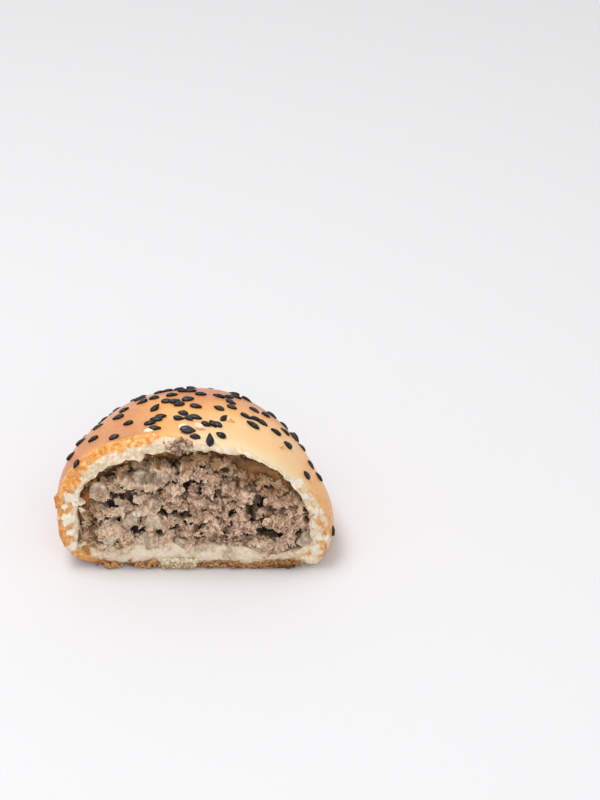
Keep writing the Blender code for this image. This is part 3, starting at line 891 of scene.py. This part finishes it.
def make_mince():
    spread = np.random.default_rng(21)
    centres = clump_centres(spread)
    count = len(centres) * GRAINS_IN_CLUMP
    clump = np.repeat(np.arange(len(centres)), GRAINS_IN_CLUMP)
    direction = spread.normal(size=(count, 3))
    direction /= np.linalg.norm(direction, axis=1, keepdims=True)
    reach = CLUMP_RADIUS * spread.uniform(0, 1, count) ** 0.5
    flat = direction * reach[:, None] * CLUMP_STRETCH
    slope = STRATA_SLOPE + 0.35 * field(centres, 14 * MM, 51.0)[clump]
    flat[:, 0], flat[:, 2] = (
        flat[:, 0] * np.cos(slope) - flat[:, 2] * np.sin(slope),
        flat[:, 0] * np.sin(slope) + flat[:, 2] * np.cos(slope),
    )
    places = centres[clump] + flat
    which, groove = masses_of(places)
    mass_tone = np.random.default_rng(63).uniform(-1.3, 1.3, len(mass_middles()))[which]
    places[:, 1] += face_depth(places)
    radius = spread.uniform(*GRAIN_RADIUS, count)
    sizes = (radius * (1 - 0.6 * groove))[:, None] * spread.uniform(0.55, 1.45, (count, 3))
    matrices = placed_matrices(random_rotations(spread, count), sizes, places)
    grain_points, grain_faces = copies(shard(), matrices)
    slab_points, slab_faces = filling_form(*BACKING, 5, 220)
    slab_faces = triangles(slab_faces)
    points = np.vstack([grain_points, slab_points])
    faces = np.vstack([grain_faces, slab_faces + len(grain_points)])
    points, faces = remeshed(points, faces, VOXEL)
    normals = normals_of(points, faces)
    sharp = 0.3 - np.abs(field(points, 2.0 * MM, 6.0)) - 0.6 * np.abs(field(points, 0.9 * MM, 9.0))
    points = points + normals * (SHARPNESS * sharp)[:, None]
    clump_tone = spread.normal(0, 1, len(centres))
    grain_tone = 0.45 * clump_tone[clump] + 0.55 * spread.normal(0, 1, count) + 0.5 * mass_tone
    tree = kdtree.KDTree(count)
    for k, place in enumerate(places):
        tree.insert(place, k)
    tree.balance()
    tone = np.array([grain_tone[tree.find(p)[1]] for p in points])
    # lighter at the left of the face and darker at the right: partly the meat's own colour, partly painted
    # shade on the right
    tone = tone + 0.6 - 1.35 * smooth_step(-14 * MM, 8 * MM, points[:, 0])
    attributes = meat(tone, how_deep(points), paleness(points), glaze(points))
    return new_object("mince_face", points, faces, attributes), points, normals, tone


def how_deep(points):
    """0 where the mince stands at its smooth face, 1 from 4 mm behind it."""
    return np.clip((points[:, 1] - smooth_face(points)) / (4 * MM), 0, 1)


def glaze(points):
    """Where juice has browned the mince: along the crust overhead, and at the left."""
    high = smooth_step(16 * MM, 21 * MM, points[:, 2])
    near = np.mean([~inside_face(points, margin) for margin in GLAZE_MARGINS], axis=0)
    wander = 0.8 + 1.3 * field(points, 3 * MM, 91.0, 2)
    return np.clip(np.maximum(high, points[:, 0] < GLAZE_LEFT) * near * wander, 0, 0.9)


def paleness(points):
    """Where pale dough clings to the foot of the mince."""
    across = window(points[:, 0] / MM, -27, -16, 12, 20)
    level = 6.4 + 1.8 * field(points, 5 * MM, 23.0, 2)
    return across * (1 - smooth_step(level - 1, level + 1, points[:, 2] / MM))


def shard():
    """A small angular chip."""
    points, faces = icosphere(1)
    return points * (1 + 0.3 * np.sin(7.0 * points[:, [1, 2, 0]] + 2.0)), faces


def make_mince_bits(points, normals, tone):
    """Fine angular bits of mince over the front of the broken face."""
    spread = np.random.default_rng(33)
    front = np.flatnonzero((normals[:, 1] < -0.05) & (points[:, 1] < 5 * MM))
    chosen = spread.choice(front, BIT_COUNT, replace=False)
    radius = spread.uniform(*BIT_SIZE, BIT_COUNT)
    sizes = radius[:, None] * spread.uniform(0.7, 1.3, (BIT_COUNT, 3)) * (1.6, 0.9, 0.55)
    places = points[chosen] + normals[chosen] * (0.25 * radius)[:, None]
    bits, faces = copies(shard(), placed_matrices(random_rotations(spread, BIT_COUNT), sizes, places))
    each = len(bits) // BIT_COUNT
    bit_tone = tone[chosen] * 0.5 + spread.normal(0.5, 0.6, BIT_COUNT)
    depth = np.repeat(how_deep(points[chosen]), each)
    attributes = meat(np.repeat(bit_tone, each), depth, paleness(bits), glaze(bits))
    return new_object("mince_bits", bits, faces, attributes, smooth=False)


def make_mince_core():
    """The mince behind the broken face, to the end of the hollow."""
    points, faces = filling_form(BACKING[1] - 1.2 * MM, 0.985 * HOLLOW.length, 40, 180)
    points[:-2] = shaken(points[:-2], 3 * MM, 17.0, 0.35 * MM)
    # its depth value of 0.5 paints it dark, as shade behind the crevices
    return new_object("mince_core", points, faces, meat(field(points, 3 * MM, 3.0), 0.5, 0.0, 0.3))


def make_lining():
    """Browned juice and soaked crumb that close the gap round the mince, a little behind the cut; darker
    stretches of it are painted shade of the gap.
    """
    angle = np.linspace(*LINING_ANGLES, LINING_ROWS)
    degrees = np.degrees(angle)
    depth = np.interp(degrees, *zip(*LINING_DEPTH)) * MM
    wall = HOLLOW.points(depth / HOLLOW.length, angle)
    inner = filling_edge(angle, LINING_OVERLAP, depth / HOLLOW.length)
    turn = np.arange(LINING_RING) * 2 * math.pi / LINING_RING
    share = 0.58 + 0.46 * np.cos(turn)
    points = wall[:, None] + (inner - wall)[:, None] * share[None, :, None]
    points[..., 1] = depth[:, None] - LINING_THICKNESS * np.sin(turn)[None, :]
    points = points.reshape(-1, 3)
    coarse = vector_field(points, 4 * MM, 81.0) * 0.7 * MM
    points += coarse + vector_field(points, 1.3 * MM, 84.0) * 0.55 * MM
    # painted shade: darker in places along the gap, lighter where the juice is amber
    juice_tone_and_shade = np.repeat(np.interp(degrees, *zip(*LINING_TONE_AND_SHADE)), LINING_RING)
    juice_tone_and_shade = juice_tone_and_shade + 0.22 * field(points, 1.8 * MM, 87.0, 2)
    attributes = {"juice_tone_and_shade": np.append(juice_tone_and_shade, [0.5, 0.5])}
    faces = grid_faces(LINING_ROWS, LINING_RING)
    return new_object("gap_lining", closed(points, LINING_RING), faces, attributes)


def merged(name, shapes, faces, tones):
    """One object of several shapes with the same faces, each of its own tone."""
    size = len(shapes[0])
    all_faces = np.vstack([faces + n * size for n in range(len(shapes))])
    return new_object(name, np.vstack(shapes), all_faces, {"tone": np.repeat(tones, size)})


def rotation(angle, axis):
    return Matrix.Rotation(angle, 3, axis)


def make_onions():
    """Soft slabs of onion, each with its broad side to the camera."""
    spread = np.random.default_rng(8)
    template, faces = icosphere(4)
    boxy = np.sign(template) * np.abs(template) ** 0.62
    shapes, tones = [], []
    for n, (u, v, width, height, turn) in enumerate(ONIONS):
        place = np.array(on_cut(u, v))
        place[1] = smooth_face(place[None])[0] - ONION_LIFT
        shape = boxy * np.array([width * PIXEL, ONION_THICKNESS, height * PIXEL / math.cos(ELEVATION)]) / 2
        shape = shape + vector_field(shape + n, 3.2 * MM, 3.0 * n) * 0.9 * MM
        shape = shape + vector_field(shape + n, 1.3 * MM, 5.0 * n) * 0.55 * MM
        tilt = rotation(turn * DEG, "Y") @ rotation(spread.uniform(-0.5, 0.3), "X")
        tilt = tilt @ rotation(spread.uniform(-0.4, 0.4), "Z")
        shapes.append(shape @ np.array(tilt).T + place)
        tones.append(spread.uniform(-1, 1))
    return merged("onion", shapes, faces, tones)


def soft_lumps(name, specs, depth, relief, seed, skin):
    """Soft lumps at pixels, broad side to the camera, behind the cut or on the skin."""
    spread = np.random.default_rng(seed)
    template, faces = icosphere(5)
    shapes = []
    for n, (u, v, width, height, turn) in enumerate(specs):
        size = np.array([width, 0.35 * (width + height), height / math.cos(ELEVATION)]) * PIXEL / 2
        shape = template * size
        shape = shape * (1 + relief * field(shape + n, 1.8 * MM, 3.0 * n, 2))[:, None]
        small = min(1, height / 6)
        shape = shape + vector_field(shape + n, 0.9 * MM, 5.0 * n) * 0.5 * MM * relief * small
        place = skin.seen(u, v)[0] if depth is None else on_cut(u, v, depth * MM)
        shape = shape @ np.array(rotation(turn * DEG, "Y")).T + np.array(place)
        shape[:, 2] = np.maximum(shape[:, 2], FLOOR_CLEARANCE)
        shapes.append(shape)
    return merged(name, shapes, faces, spread.uniform(-1, 1, len(specs)))


def scattered(name, spread, places, radii, stretch, tones, lighter=0, turn=None, depth=None, smooth=False):
    """Angular chips at the places: their sizes in millimetres and their tones are random."""
    count = len(places)
    sizes = spread.uniform(*radii, (count, 1)) * spread.uniform(*stretch, (count, 3)) * MM
    rotations = random_rotations(spread, count)
    if turn is not None:
        rotations = rotations * 0.35 + np.array(turn)[None]
    points, faces = copies(shard(), placed_matrices(rotations, sizes, places))
    points[:, 2] = np.maximum(points[:, 2], FLOOR_CLEARANCE)
    tone = np.repeat(spread.normal(*tones, count) + lighter, len(points) // count)
    attributes = {"tone": tone} if depth is None else meat(tone, depth)
    return new_object(name, points, faces, attributes, smooth)


def make_base_crumbs():
    """Pale crumb that hangs in small lumps under the cut."""
    spread = np.random.default_rng(43)
    middle, reach = CRUMB_GROUP
    x = middle + reach * spread.uniform(-1, 1, CRUMB_COUNT)
    z = spread.uniform(0.3, 3.0, CRUMB_COUNT)
    y = spread.normal(0.0, 0.35, CRUMB_COUNT) - 0.3 * z + 0.35
    places = np.stack([x, y, z], 1) * MM
    return scattered(
        "base_crumbs", spread, places, (0.16, 0.42), (0.7, 1.3), (-0.6, 0.8), 0.6 * z, smooth=True
    )


def make_lip_meat():
    """Mince smeared over the notch in the lip."""
    spread = np.random.default_rng(14)
    middle = np.array(on_cut(*LIP_NOTCH, 0.6 * MM))
    places = middle + spread.normal(0, 1, (MEAT_COUNT, 3)) * MEAT_REACH
    # depth=0.24 darkens these chips with the mince's painted shade, though they lie at the cut
    return scattered("lip_meat", spread, places, (0.25, 0.65), (0.6, 1.3), (-1.0, 1.0), depth=0.24)


def make_base_flakes():
    """Brown flakes of the base crust along the foot of the cut."""
    spread = np.random.default_rng(41)
    groups = np.array(FLAKE_GROUPS, float)
    chosen = spread.choice(len(groups), FLAKE_COUNT, p=groups[:, 3])
    middle, reach, level, _, lighter = groups[chosen].T
    x = (middle + reach * spread.normal(0, 0.5, FLAKE_COUNT)) * MM
    along = np.stack([x, 0 * x, 0 * x], 1)
    share = spread.uniform(0.04, 1.0, FLAKE_COUNT)
    heap = 0.85 + 1.7 * field(along, 2.2 * MM, 24.0)
    z = level * share * heap * MM + 0.45 * front_lift(along)
    y = (spread.normal(0.0, 0.3, FLAKE_COUNT) - 0.25 * z / MM + 0.3) * MM
    lighter = lighter + 2.6 * (share - 0.45)
    places = np.stack([x, y, z], 1)
    return scattered(
        "base_flakes", spread, places, (0.13, 0.4), (0.7, 1.4), (0, 0.8), lighter, rotation(0.5, "X")
    )


def make_lip_chips():
    """Dark chips of browned crumb along the inner edge of the rim."""
    spread = np.random.default_rng(47)
    at, shares = zip(*CHIP_SHARES)
    fine = np.linspace(at[0], at[-1], 400)
    total = np.cumsum(np.interp(fine, at, shares))
    angle = np.radians(np.interp(spread.uniform(0, 1, CHIP_COUNT), total / total[-1], fine))
    depth = spread.uniform(0.1, 2.4, CHIP_COUNT)
    inward = spread.uniform(0.3, 0.9, CHIP_COUNT) * MM
    places = HOLLOW.points(depth * MM / HOLLOW.length, angle, inward) + (0, 0.6 * MM, 0)
    places += inner_teeth(places)
    return scattered("lip_chips", spread, places, (0.16, 0.5), (0.6, 1.4), (0, 1), 0.4 * depth)


# Sesame


def seed_shape():
    """A flat drop, pointed at +X, with a fine ridge round its edge."""
    points, faces = icosphere(3)
    x, y, z = points.T
    taper = 1 - 0.52 * smooth_step(-0.2, 1.0, x)
    y = y * taper
    z = z * (1 - 0.35 * smooth_step(0.0, 1.0, x))
    rim = bell(np.hypot(x, y / np.maximum(taper, 0.3)), 0.86, 0.1)
    z = z * (1 + 0.25 * rim)
    scale = 0.5 * np.array([SEED_LENGTH, SEED_WIDTH, SEED_THICKNESS])
    return np.stack([x, y, z], axis=1) * scale, faces


class Skin:
    """Finds places on the smooth outer form by ray."""

    def __init__(self):
        rows, columns = 100, 360
        angles = ring_angles(columns)
        t = np.sin(0.5 * math.pi * np.arange(rows) / rows)
        points = lumpy(BUN.points(t[:, None], angles[None, :]).reshape(-1, 3))
        back = np.repeat(t * HALF_LENGTH, columns)
        points[:, 1] += lip_setback(np.tile(angles, rows)) * np.exp(-back / LIP_REACH)
        faces = [f[::-1] for f in grid_faces(rows, columns)]
        self.holder = new_object("skin_for_seeds", closed(points, columns), faces)
        bpy.context.view_layer.update()

    def hit(self, start, direction):
        ok, place, normal, _ = self.holder.ray_cast(start - MIDDLE, direction)
        return (place + MIDDLE, normal) if ok else (None, None)

    def seen(self, u, v):
        """The place and normal that a pixel shows, or those of the outline next to it."""
        start = camera_place()
        middle_u, middle_v = OUTLINE_MIDDLE
        for inward in np.linspace(0, 0.3, 61):
            direction = ray(u + (middle_u - u) * inward, v + (middle_v - v) * inward)
            place, normal = self.hit(start, direction)
            if place is not None:
                return place, normal
        return None, None

    def remove(self):
        bpy.data.objects.remove(self.holder)


def seed_matrix(place, normal, pointing, size, lean):
    """A seed lying on the skin, its point turned along pointing, leaning a little."""
    side = normal.cross(pointing).normalized()
    forward = side.cross(normal).normalized()
    axes = Matrix((forward, side, normal)).transposed()
    axes = axes @ rotation(lean[0], "X") @ rotation(lean[1], "Y")
    matrix = (axes @ Matrix.Diagonal(size)).to_4x4()
    matrix.translation = place + normal * SEED_THICKNESS * (0.5 - SEED_SUNK)
    return np.array(matrix)


def facing_seed(skin, spread, seed, lean, lift, grown):
    """The matrix of a seed that the photograph shows, leaning towards the camera."""
    u, v, turn = seed
    direction = RIGHT * math.cos(turn * DEG) + UP * math.sin(turn * DEG)
    size = Vector(spread.uniform(0.9, 1.1, 3)) * grown
    place, normal = skin.seen(u, v)
    facing = max(0.0, -normal.dot(ray(u, v)))
    leaning = (normal - ray(u, v) * lean * facing).normalized()
    raised = 0.35 * SEED_WIDTH * math.sqrt(1 - min(leaning.dot(normal), 1) ** 2)
    above = SEED_THICKNESS * (0.5 - SEED_SUNK)
    # raised towards the camera, so that the seed stays on its pixel
    place = place - ray(u, v) * ((raised + lift + above) / max(facing, LEAST_FACING)) - leaning * above
    pointing = direction - leaning * direction.dot(leaning)
    return seed_matrix(place, leaning, pointing, size, spread.normal(0, 0.12, 2))


def make_seeds(skin):
    spread = np.random.default_rng(5)
    matrices = [facing_seed(skin, spread, seed, SEED_LEAN, 0.0, 1.0) for seed in SEEDS_SEEN]
    for seed in LIP_SEEDS:
        matrices.append(facing_seed(skin, spread, seed, LIP_LEAN, LIP_LIFT, LIP_SEED_SIZE))
    count = 0
    while count < HIDDEN_SEEDS:
        t = spread.triangular(*HIDDEN_REACH)
        angle = spread.uniform(*HIDDEN_ANGLES)
        target = Vector(BUN.points(t, angle))
        axis = Vector((math.tan(TIP_LEAN) * target.y, target.y, 0.2 * BUN_HEIGHT))
        outward = (target - axis).normalized()
        place, normal = skin.hit(target + outward * 20 * MM, -outward)
        if place is None:
            continue
        if normal.dot((place - camera_place()).normalized()) < spread.uniform(0, MOST_HIDDEN):
            continue
        turn = spread.uniform(0, 2 * math.pi)
        pointing = Vector((math.cos(turn), math.sin(turn), 0.1))
        pointing = pointing - normal * pointing.dot(normal)
        size = Vector(spread.uniform(0.88, 1.1, 3))
        matrices.append(seed_matrix(place, normal, pointing, size, spread.normal(0, 0.1, 2)))
        count += 1
    hulls = [facing_seed(skin, spread, seed, LIP_LEAN, 0.3 * MM, grown) for seed, grown in PALE_HULLS]
    points, faces = copies(seed_shape(), np.array(hulls) * (1, 1, HULL_FLATNESS, 1))
    hull = new_object("pale_hulls", points, faces, {"tone": np.zeros(len(points))})
    template, faces = seed_shape()
    # painted sheen and shade: each seed is lighter on its broad faces and near black at its edges, as light
    # falls on it
    painted_sheen_and_shade = smooth_step(0.2, 0.75, np.abs(template[:, 2]) / (0.5 * SEED_THICKNESS))
    points, faces = copies((template, faces), matrices)
    # those on the crest are pressed in, so that they hardly add to the bun's height
    tops = points[:, 2].reshape(len(matrices), -1).max(axis=1)
    points[:, 2] -= np.repeat(np.maximum(tops - SEED_CEILING, 0), len(template))
    tone = np.repeat(spread.normal(0, 1, len(matrices)), len(template))
    attributes = {"tone": tone, "painted_sheen_and_shade": np.tile(painted_sheen_and_shade, len(matrices))}
    return new_object("black_sesame", points, faces, attributes), hull


# Materials


def srgb(*levels):
    """A colour given in 0 to 255 display levels, as linear light."""
    out = []
    for level in levels:
        c = level / 255
        out.append(c / 12.92 if c <= 0.04045 else ((c + 0.055) / 1.055) ** 2.4)
    return tuple(out)


class Shader:
    """A material's node tree, built step by step."""

    def __init__(self, name):
        self.material = bpy.data.materials.new(name)
        self.material.use_nodes = True
        self.tree = self.material.node_tree
        self.surface = self.tree.nodes["Principled BSDF"]
        self.coordinates = self.tree.nodes.new("ShaderNodeTexCoord").outputs["Object"]

    def put(self, target, value):
        if isinstance(value, bpy.types.NodeSocket):
            self.tree.links.new(value, target)
        elif isinstance(value, tuple) and len(value) == 3 and len(target.default_value) == 4:
            target.default_value = (*value, 1)
        else:
            target.default_value = value

    def set(self, **values):
        """Sets the surface's own sockets: base_color becomes Base Color."""
        for key, value in values.items():
            name = key.replace("_", " ").title().replace("Ior", "IOR")
            self.put(self.surface.inputs[name], value)

    def node(self, kind, **inputs):
        node = self.tree.nodes.new("ShaderNode" + kind)
        for key, value in inputs.items():
            self.put(node.inputs[key.replace("_", " ")], value)
        return node

    def attribute(self, name):
        node = self.node("Attribute")
        node.attribute_name = name
        return node.outputs["Fac"]

    def noise(self, size, detail=3.0, roughness=0.55):
        at = self.coordinates
        node = self.node("TexNoise", Scale=1 / size, Detail=detail, Roughness=roughness, Vector=at)
        return node.outputs["Fac"]

    def math(self, operation, a, b):
        node = self.node("Math")
        node.operation = operation
        self.put(node.inputs[0], a)
        self.put(node.inputs[1], b)
        return node.outputs[0]

    def plus(self, a, b):
        return self.math("ADD", a, b)

    def times(self, a, b):
        return self.math("MULTIPLY", a, b)

    def toned(self, share, size, detail=3.0, roughness=0.55, tone="tone"):
        """A piece's own tone and noise together, for a ramp."""
        return self.plus(self.times(self.attribute(tone), share), self.noise(size, detail, roughness))

    def span(self, value, low, high, to_low=0.0, to_high=1.0):
        ends = {"From_Min": low, "From_Max": high, "To_Min": to_low, "To_Max": to_high}
        node = self.node("MapRange", Value=value, **ends)
        node.interpolation_type = "SMOOTHSTEP"
        return node.outputs["Result"]

    def ramp(self, value, *stops):
        """A colour from stops that each give a place and display levels."""
        node = self.node("ValToRGB", Fac=value)
        elements = node.color_ramp.elements
        while len(elements) < len(stops):
            elements.new(1.0)
        for element, (place, *levels) in zip(elements, stops):
            element.position = place
            element.color = (*srgb(*levels), 1)
        return node.outputs["Color"]

    def mix(self, share, a, b):
        node = self.node("Mix")
        node.data_type = "RGBA"
        for k, value in ((0, share), (6, a), (7, b)):
            self.put(node.inputs[k], value)
        return node.outputs[2]

    def bump(self, height, distance):
        node = self.node("Bump", Distance=distance, Strength=1.0, Height=height)
        self.put(self.surface.inputs["Normal"], node.outputs["Normal"])

    def soften(self, weight, scale, *radius):
        """Light that goes under the surface; the radius is for red, green and blue."""
        self.set(subsurface_weight=weight, subsurface_scale=scale)
        if radius:
            self.surface.inputs["Subsurface Radius"].default_value = radius


def dough_material():
    m = Shader("baked_dough")
    browning = m.plus(m.attribute("browning"), m.times(m.noise(5 * MM, 4), 0.24))
    skin = m.ramp(
        m.math("SUBTRACT", browning, 0.12),
        (0.0, 244, 196, 138), (0.3, 236, 167, 93), (0.6, 203, 131, 88), (0.85, 176, 98, 50),
        (1.0, 128, 66, 30),
    )
    mottle = m.span(m.noise(1.2 * MM, 3), 0.35, 0.7)
    skin = m.mix(m.times(mottle, 0.12), skin, srgb(250, 206, 156))
    grainy = m.times(m.math("SUBTRACT", m.noise(1.3 * MM, 4, 0.65), 0.5), 0.9)
    fried = m.span(m.plus(m.attribute("fried"), grainy), 0.22, 0.6)
    orange = m.ramp(m.noise(1.0 * MM, 4, 0.6), (0.3, 204, 114, 38), (0.5, 230, 160, 78), (0.7, 244, 204, 138))
    skin = m.mix(fried, skin, orange)
    brown = m.ramp(m.noise(0.8 * MM, 5, 0.7), (0.32, 94, 52, 22), (0.5, 170, 112, 58), (0.66, 222, 178, 122))
    skin = m.mix(m.attribute("underside"), skin, brown)
    grain = m.noise(0.9 * MM, 4, 0.6)
    cream = m.ramp(grain, (0.3, 214, 186, 148), (0.5, 236, 214, 182), (0.7, 250, 238, 216))
    skin = m.mix(m.attribute("fading"), skin, srgb(237, 210, 167))
    torn = m.span(m.plus(m.attribute("crumb"), grainy), 0.28, 0.74)
    colour = m.mix(torn, skin, cream)
    colour = m.mix(m.times(m.attribute("white"), 0.7), colour, srgb(253, 244, 230))
    # soaked colour: juice in the stains and the hollow's wall, painted shade in the clefts
    soaked = m.mix(m.noise(2.5 * MM, 3), srgb(92, 58, 24), srgb(156, 108, 54))
    colour = m.mix(m.attribute("soak_and_cleft_shade"), colour, soaked)
    m.set(base_color=colour, roughness=m.span(torn, 0, 1, 0.38, 0.75))
    m.set(coat_weight=0.05, coat_roughness=0.25, specular_ior_level=0.35)
    m.soften(0.12, 1.5 * MM, 1.0, 0.6, 0.35)
    fine = m.times(m.noise(0.7 * MM, 4), 0.35)
    m.bump(m.plus(fine, m.times(torn, m.noise(0.5 * MM, 4, 0.7))), 0.3 * MM)
    return m.material


def crumb_material(name, dark, middle, light):
    """Loose crumbs and flakes, each of its own tone, from three colours in display levels."""
    m = Shader(name)
    tone = m.toned(0.18, 0.6 * MM)
    m.set(base_color=m.ramp(tone, (0.2, *dark), (0.5, *middle), (0.8, *light)), roughness=0.7)
    m.soften(0.12, 1.0 * MM)
    m.bump(m.noise(0.35 * MM), 0.2 * MM)
    return m.material


def mince_material():
    m = Shader("cooked_mince")
    colour = m.ramp(
        m.toned(0.16, 1.4 * MM, 3, 0.6),
        (0.1, 112, 80, 56), (0.38, 208, 169, 140), (0.62, 252, 220, 189), (0.95, 255, 246, 224),
    )
    pink = m.span(m.noise(7 * MM, 2), 0.45, 0.65)
    colour = m.mix(m.times(pink, 0.25), colour, srgb(196, 146, 128))
    # painted shade: the mince darkens the deeper it lies behind its face, to near black in the crevices
    depth = m.attribute("depth")
    colour = m.mix(m.times(m.span(depth, 0.08, 0.62), 0.85), colour, srgb(72, 46, 30))
    colour = m.mix(m.span(depth, 0.6, 1.0, 0.0, 0.6), colour, srgb(28, 17, 10))
    browned = m.mix(m.noise(2 * MM), srgb(122, 82, 44), srgb(208, 160, 108))
    colour = m.mix(m.attribute("glaze"), colour, browned)
    colour = m.mix(m.times(m.attribute("pale"), 0.85), colour, srgb(230, 210, 178))
    m.set(base_color=colour, roughness=m.span(m.noise(1.5 * MM, 2), 0.3, 0.7, 0.32, 0.6))
    m.set(coat_weight=0.25, coat_roughness=0.2)
    m.soften(0.1, 1.0 * MM)
    m.bump(m.noise(0.45 * MM, 4, 0.7), 0.4 * MM)
    return m.material


def lining_material():
    m = Shader("soaked_lining")
    juice_tone_and_shade = m.plus(m.attribute("juice_tone_and_shade"), m.times(m.noise(1.2 * MM, 4, 0.6), 0.3))
    # the low end of the ramp is painted shade in the gap; the rest is the juice's own brown and amber
    colour = m.ramp(
        m.math("SUBTRACT", juice_tone_and_shade, 0.15),
        (0.05, 46, 27, 12), (0.35, 94, 58, 24), (0.6, 140, 98, 50), (0.82, 178, 104, 38), (1.0, 206, 134, 38),
    )
    m.set(base_color=colour, roughness=0.4, coat_weight=0.08, coat_roughness=0.15, specular_ior_level=0.35)
    m.soften(0.1, 1.0 * MM)
    m.bump(m.noise(0.7 * MM, 4, 0.6), 0.3 * MM)
    return m.material


def juice_material():
    m = Shader("browned_juice")
    colour = m.ramp(m.toned(0.15, 1.6 * MM), (0.2, 120, 58, 14), (0.5, 176, 100, 34), (0.8, 214, 150, 72))
    m.set(base_color=colour, roughness=0.22, coat_weight=0.4, coat_roughness=0.1)
    m.soften(0.3, 1.5 * MM)
    m.bump(m.noise(0.8 * MM), 0.2 * MM)
    return m.material


def onion_material():
    m = Shader("cooked_onion")
    tone = m.toned(0.12, 1.4 * MM, 4, 0.6)
    colour = m.ramp(tone, (0.3, 138, 116, 96), (0.5, 192, 168, 142), (0.7, 242, 224, 200))
    m.set(base_color=colour, roughness=0.3, coat_weight=0.3, coat_roughness=0.15)
    m.soften(0.5, 2.5 * MM, 1.0, 0.85, 0.7)
    m.bump(m.noise(0.6 * MM, 4, 0.6), 0.4 * MM)
    return m.material


def sesame_material():
    m = Shader("black_sesame")
    colour = m.ramp(m.toned(0.12, 0.8 * MM), (0.25, 20, 18, 20), (0.75, 66, 64, 70))
    # painted shade: near black at each seed's edges, its lighter colour on the broad faces
    colour = m.mix(m.attribute("painted_sheen_and_shade"), srgb(4, 3, 3), colour)
    m.set(base_color=colour, roughness=0.4, specular_ior_level=0.12)
    m.set(coat_weight=0.35, coat_roughness=0.15)
    m.bump(m.noise(0.3 * MM), 0.3 * MM)
    return m.material


def floor_material():
    m = Shader("pale_table")
    m.set(base_color=(0.75, 0.745, 0.757), roughness=0.6, specular_ior_level=0.2)
    return m.material


def finish_piece(piece, material, slot, *nodes):
    piece.data.materials.append(material)
    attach(piece, "root")
    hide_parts(*nodes)


def make_stage():
    bpy.ops.mesh.primitive_plane_add(size=FLOOR_SIZE, location=(0, 0, 0))
    floor = bpy.context.object
    floor.name = "floor"
    floor.data.materials.append(floor_material())


def make_light():
    """A soft room, and two large round lights that look at the bun."""
    scene = bpy.context.scene
    scene.world = bpy.data.worlds.new("soft_room")
    scene.world.use_nodes = True
    background = scene.world.node_tree.nodes["Background"]
    background.inputs["Color"].default_value = (1, 1, 1, 1)
    background.inputs["Strength"].default_value = ROOM_LIGHT
    for name, place, size, power in LIGHTS:
        light = bpy.data.lights.new(name, "AREA")
        light.shape = "DISK"
        light.size = size
        light.energy = power
        obj = linked(name, light)
        obj.location = place
        obj.rotation_euler = (LIT_POINT - Vector(place)).to_track_quat("-Z", "Y").to_euler()
    scene.view_settings.view_transform = "Standard"
    scene.view_settings.look = "None"


def make_camera():
    camera = bpy.data.cameras.new("camera")
    camera.sensor_width = SENSOR
    camera.lens = SENSOR * DISTANCE / (PHOTO_HEIGHT * PIXEL)
    obj = linked("camera", camera)
    obj.location = camera_place() - MIDDLE
    obj.rotation_euler = (math.pi / 2 - ELEVATION, 0, 0)
    bpy.context.scene.camera = obj


make_camera()
make_light()
make_stage()
dough = dough_material()
mince = mince_material()
finish_piece(make_dough(), dough, "crust", "crust")
skin = Skin()
sesame, hulls = make_seeds(skin)
finish_piece(sesame, sesame_material(), "crust", "crust")
pale_crumbs = crumb_material("pale_crumbs", (214, 184, 144), (240, 222, 192), (252, 244, 228))
brown_flakes = crumb_material("brown_flakes", (80, 44, 18), (150, 94, 46), (216, 166, 104))
golden_chips = crumb_material("golden_chips", (190, 112, 46), (226, 164, 92), (246, 214, 160))
finish_piece(hulls, pale_crumbs, "crust", "crust")
lumps = (  # name, pixels, how far behind the cut or None for on the skin, relief, material, node
    ("torn_dough", HANGING, 0.6, 0.8, pale_crumbs, "crust"),
    ("juice", JUICE, 3.2, 0.3, juice_material(), "filling"),
    ("dough_blob", (DOUGH_BLOB,), 1.2, 0.2, pale_crumbs, "crust"),
    ("crust_chip", (CRUST_CHIP,), 2.0, 0.6, golden_chips, "crust"),
    ("flecks", FLECKS, None, 0.3, pale_crumbs, "crust"),
    ("scabs", SCABS, None, 0.5, golden_chips, "crust"),
)
for seed, (name, specs, depth, relief, material, node) in enumerate(lumps):
    finish_piece(soft_lumps(name, specs, depth, relief, seed, skin), material, node, node)
skin.remove()
finish_piece(make_base_flakes(), brown_flakes, "crust", "crust")
toasted = crumb_material("toasted_crumbs", (176, 126, 74), (230, 202, 160), (250, 238, 214))
finish_piece(make_base_crumbs(), toasted, "crust", "crust")
browned = crumb_material("browned_edge", (52, 28, 10), (108, 68, 30), (176, 128, 72))
finish_piece(make_lip_chips(), browned, "crust", "crust")
mince_face, *face = make_mince()
for piece in (mince_face, make_mince_bits(*face), make_mince_core(), make_lip_meat()):
    finish_piece(piece, mince, "filling", "filling")
finish_piece(make_lining(), lining_material(), "filling", "filling")
finish_piece(make_onions(), onion_material(), "filling", "filling")
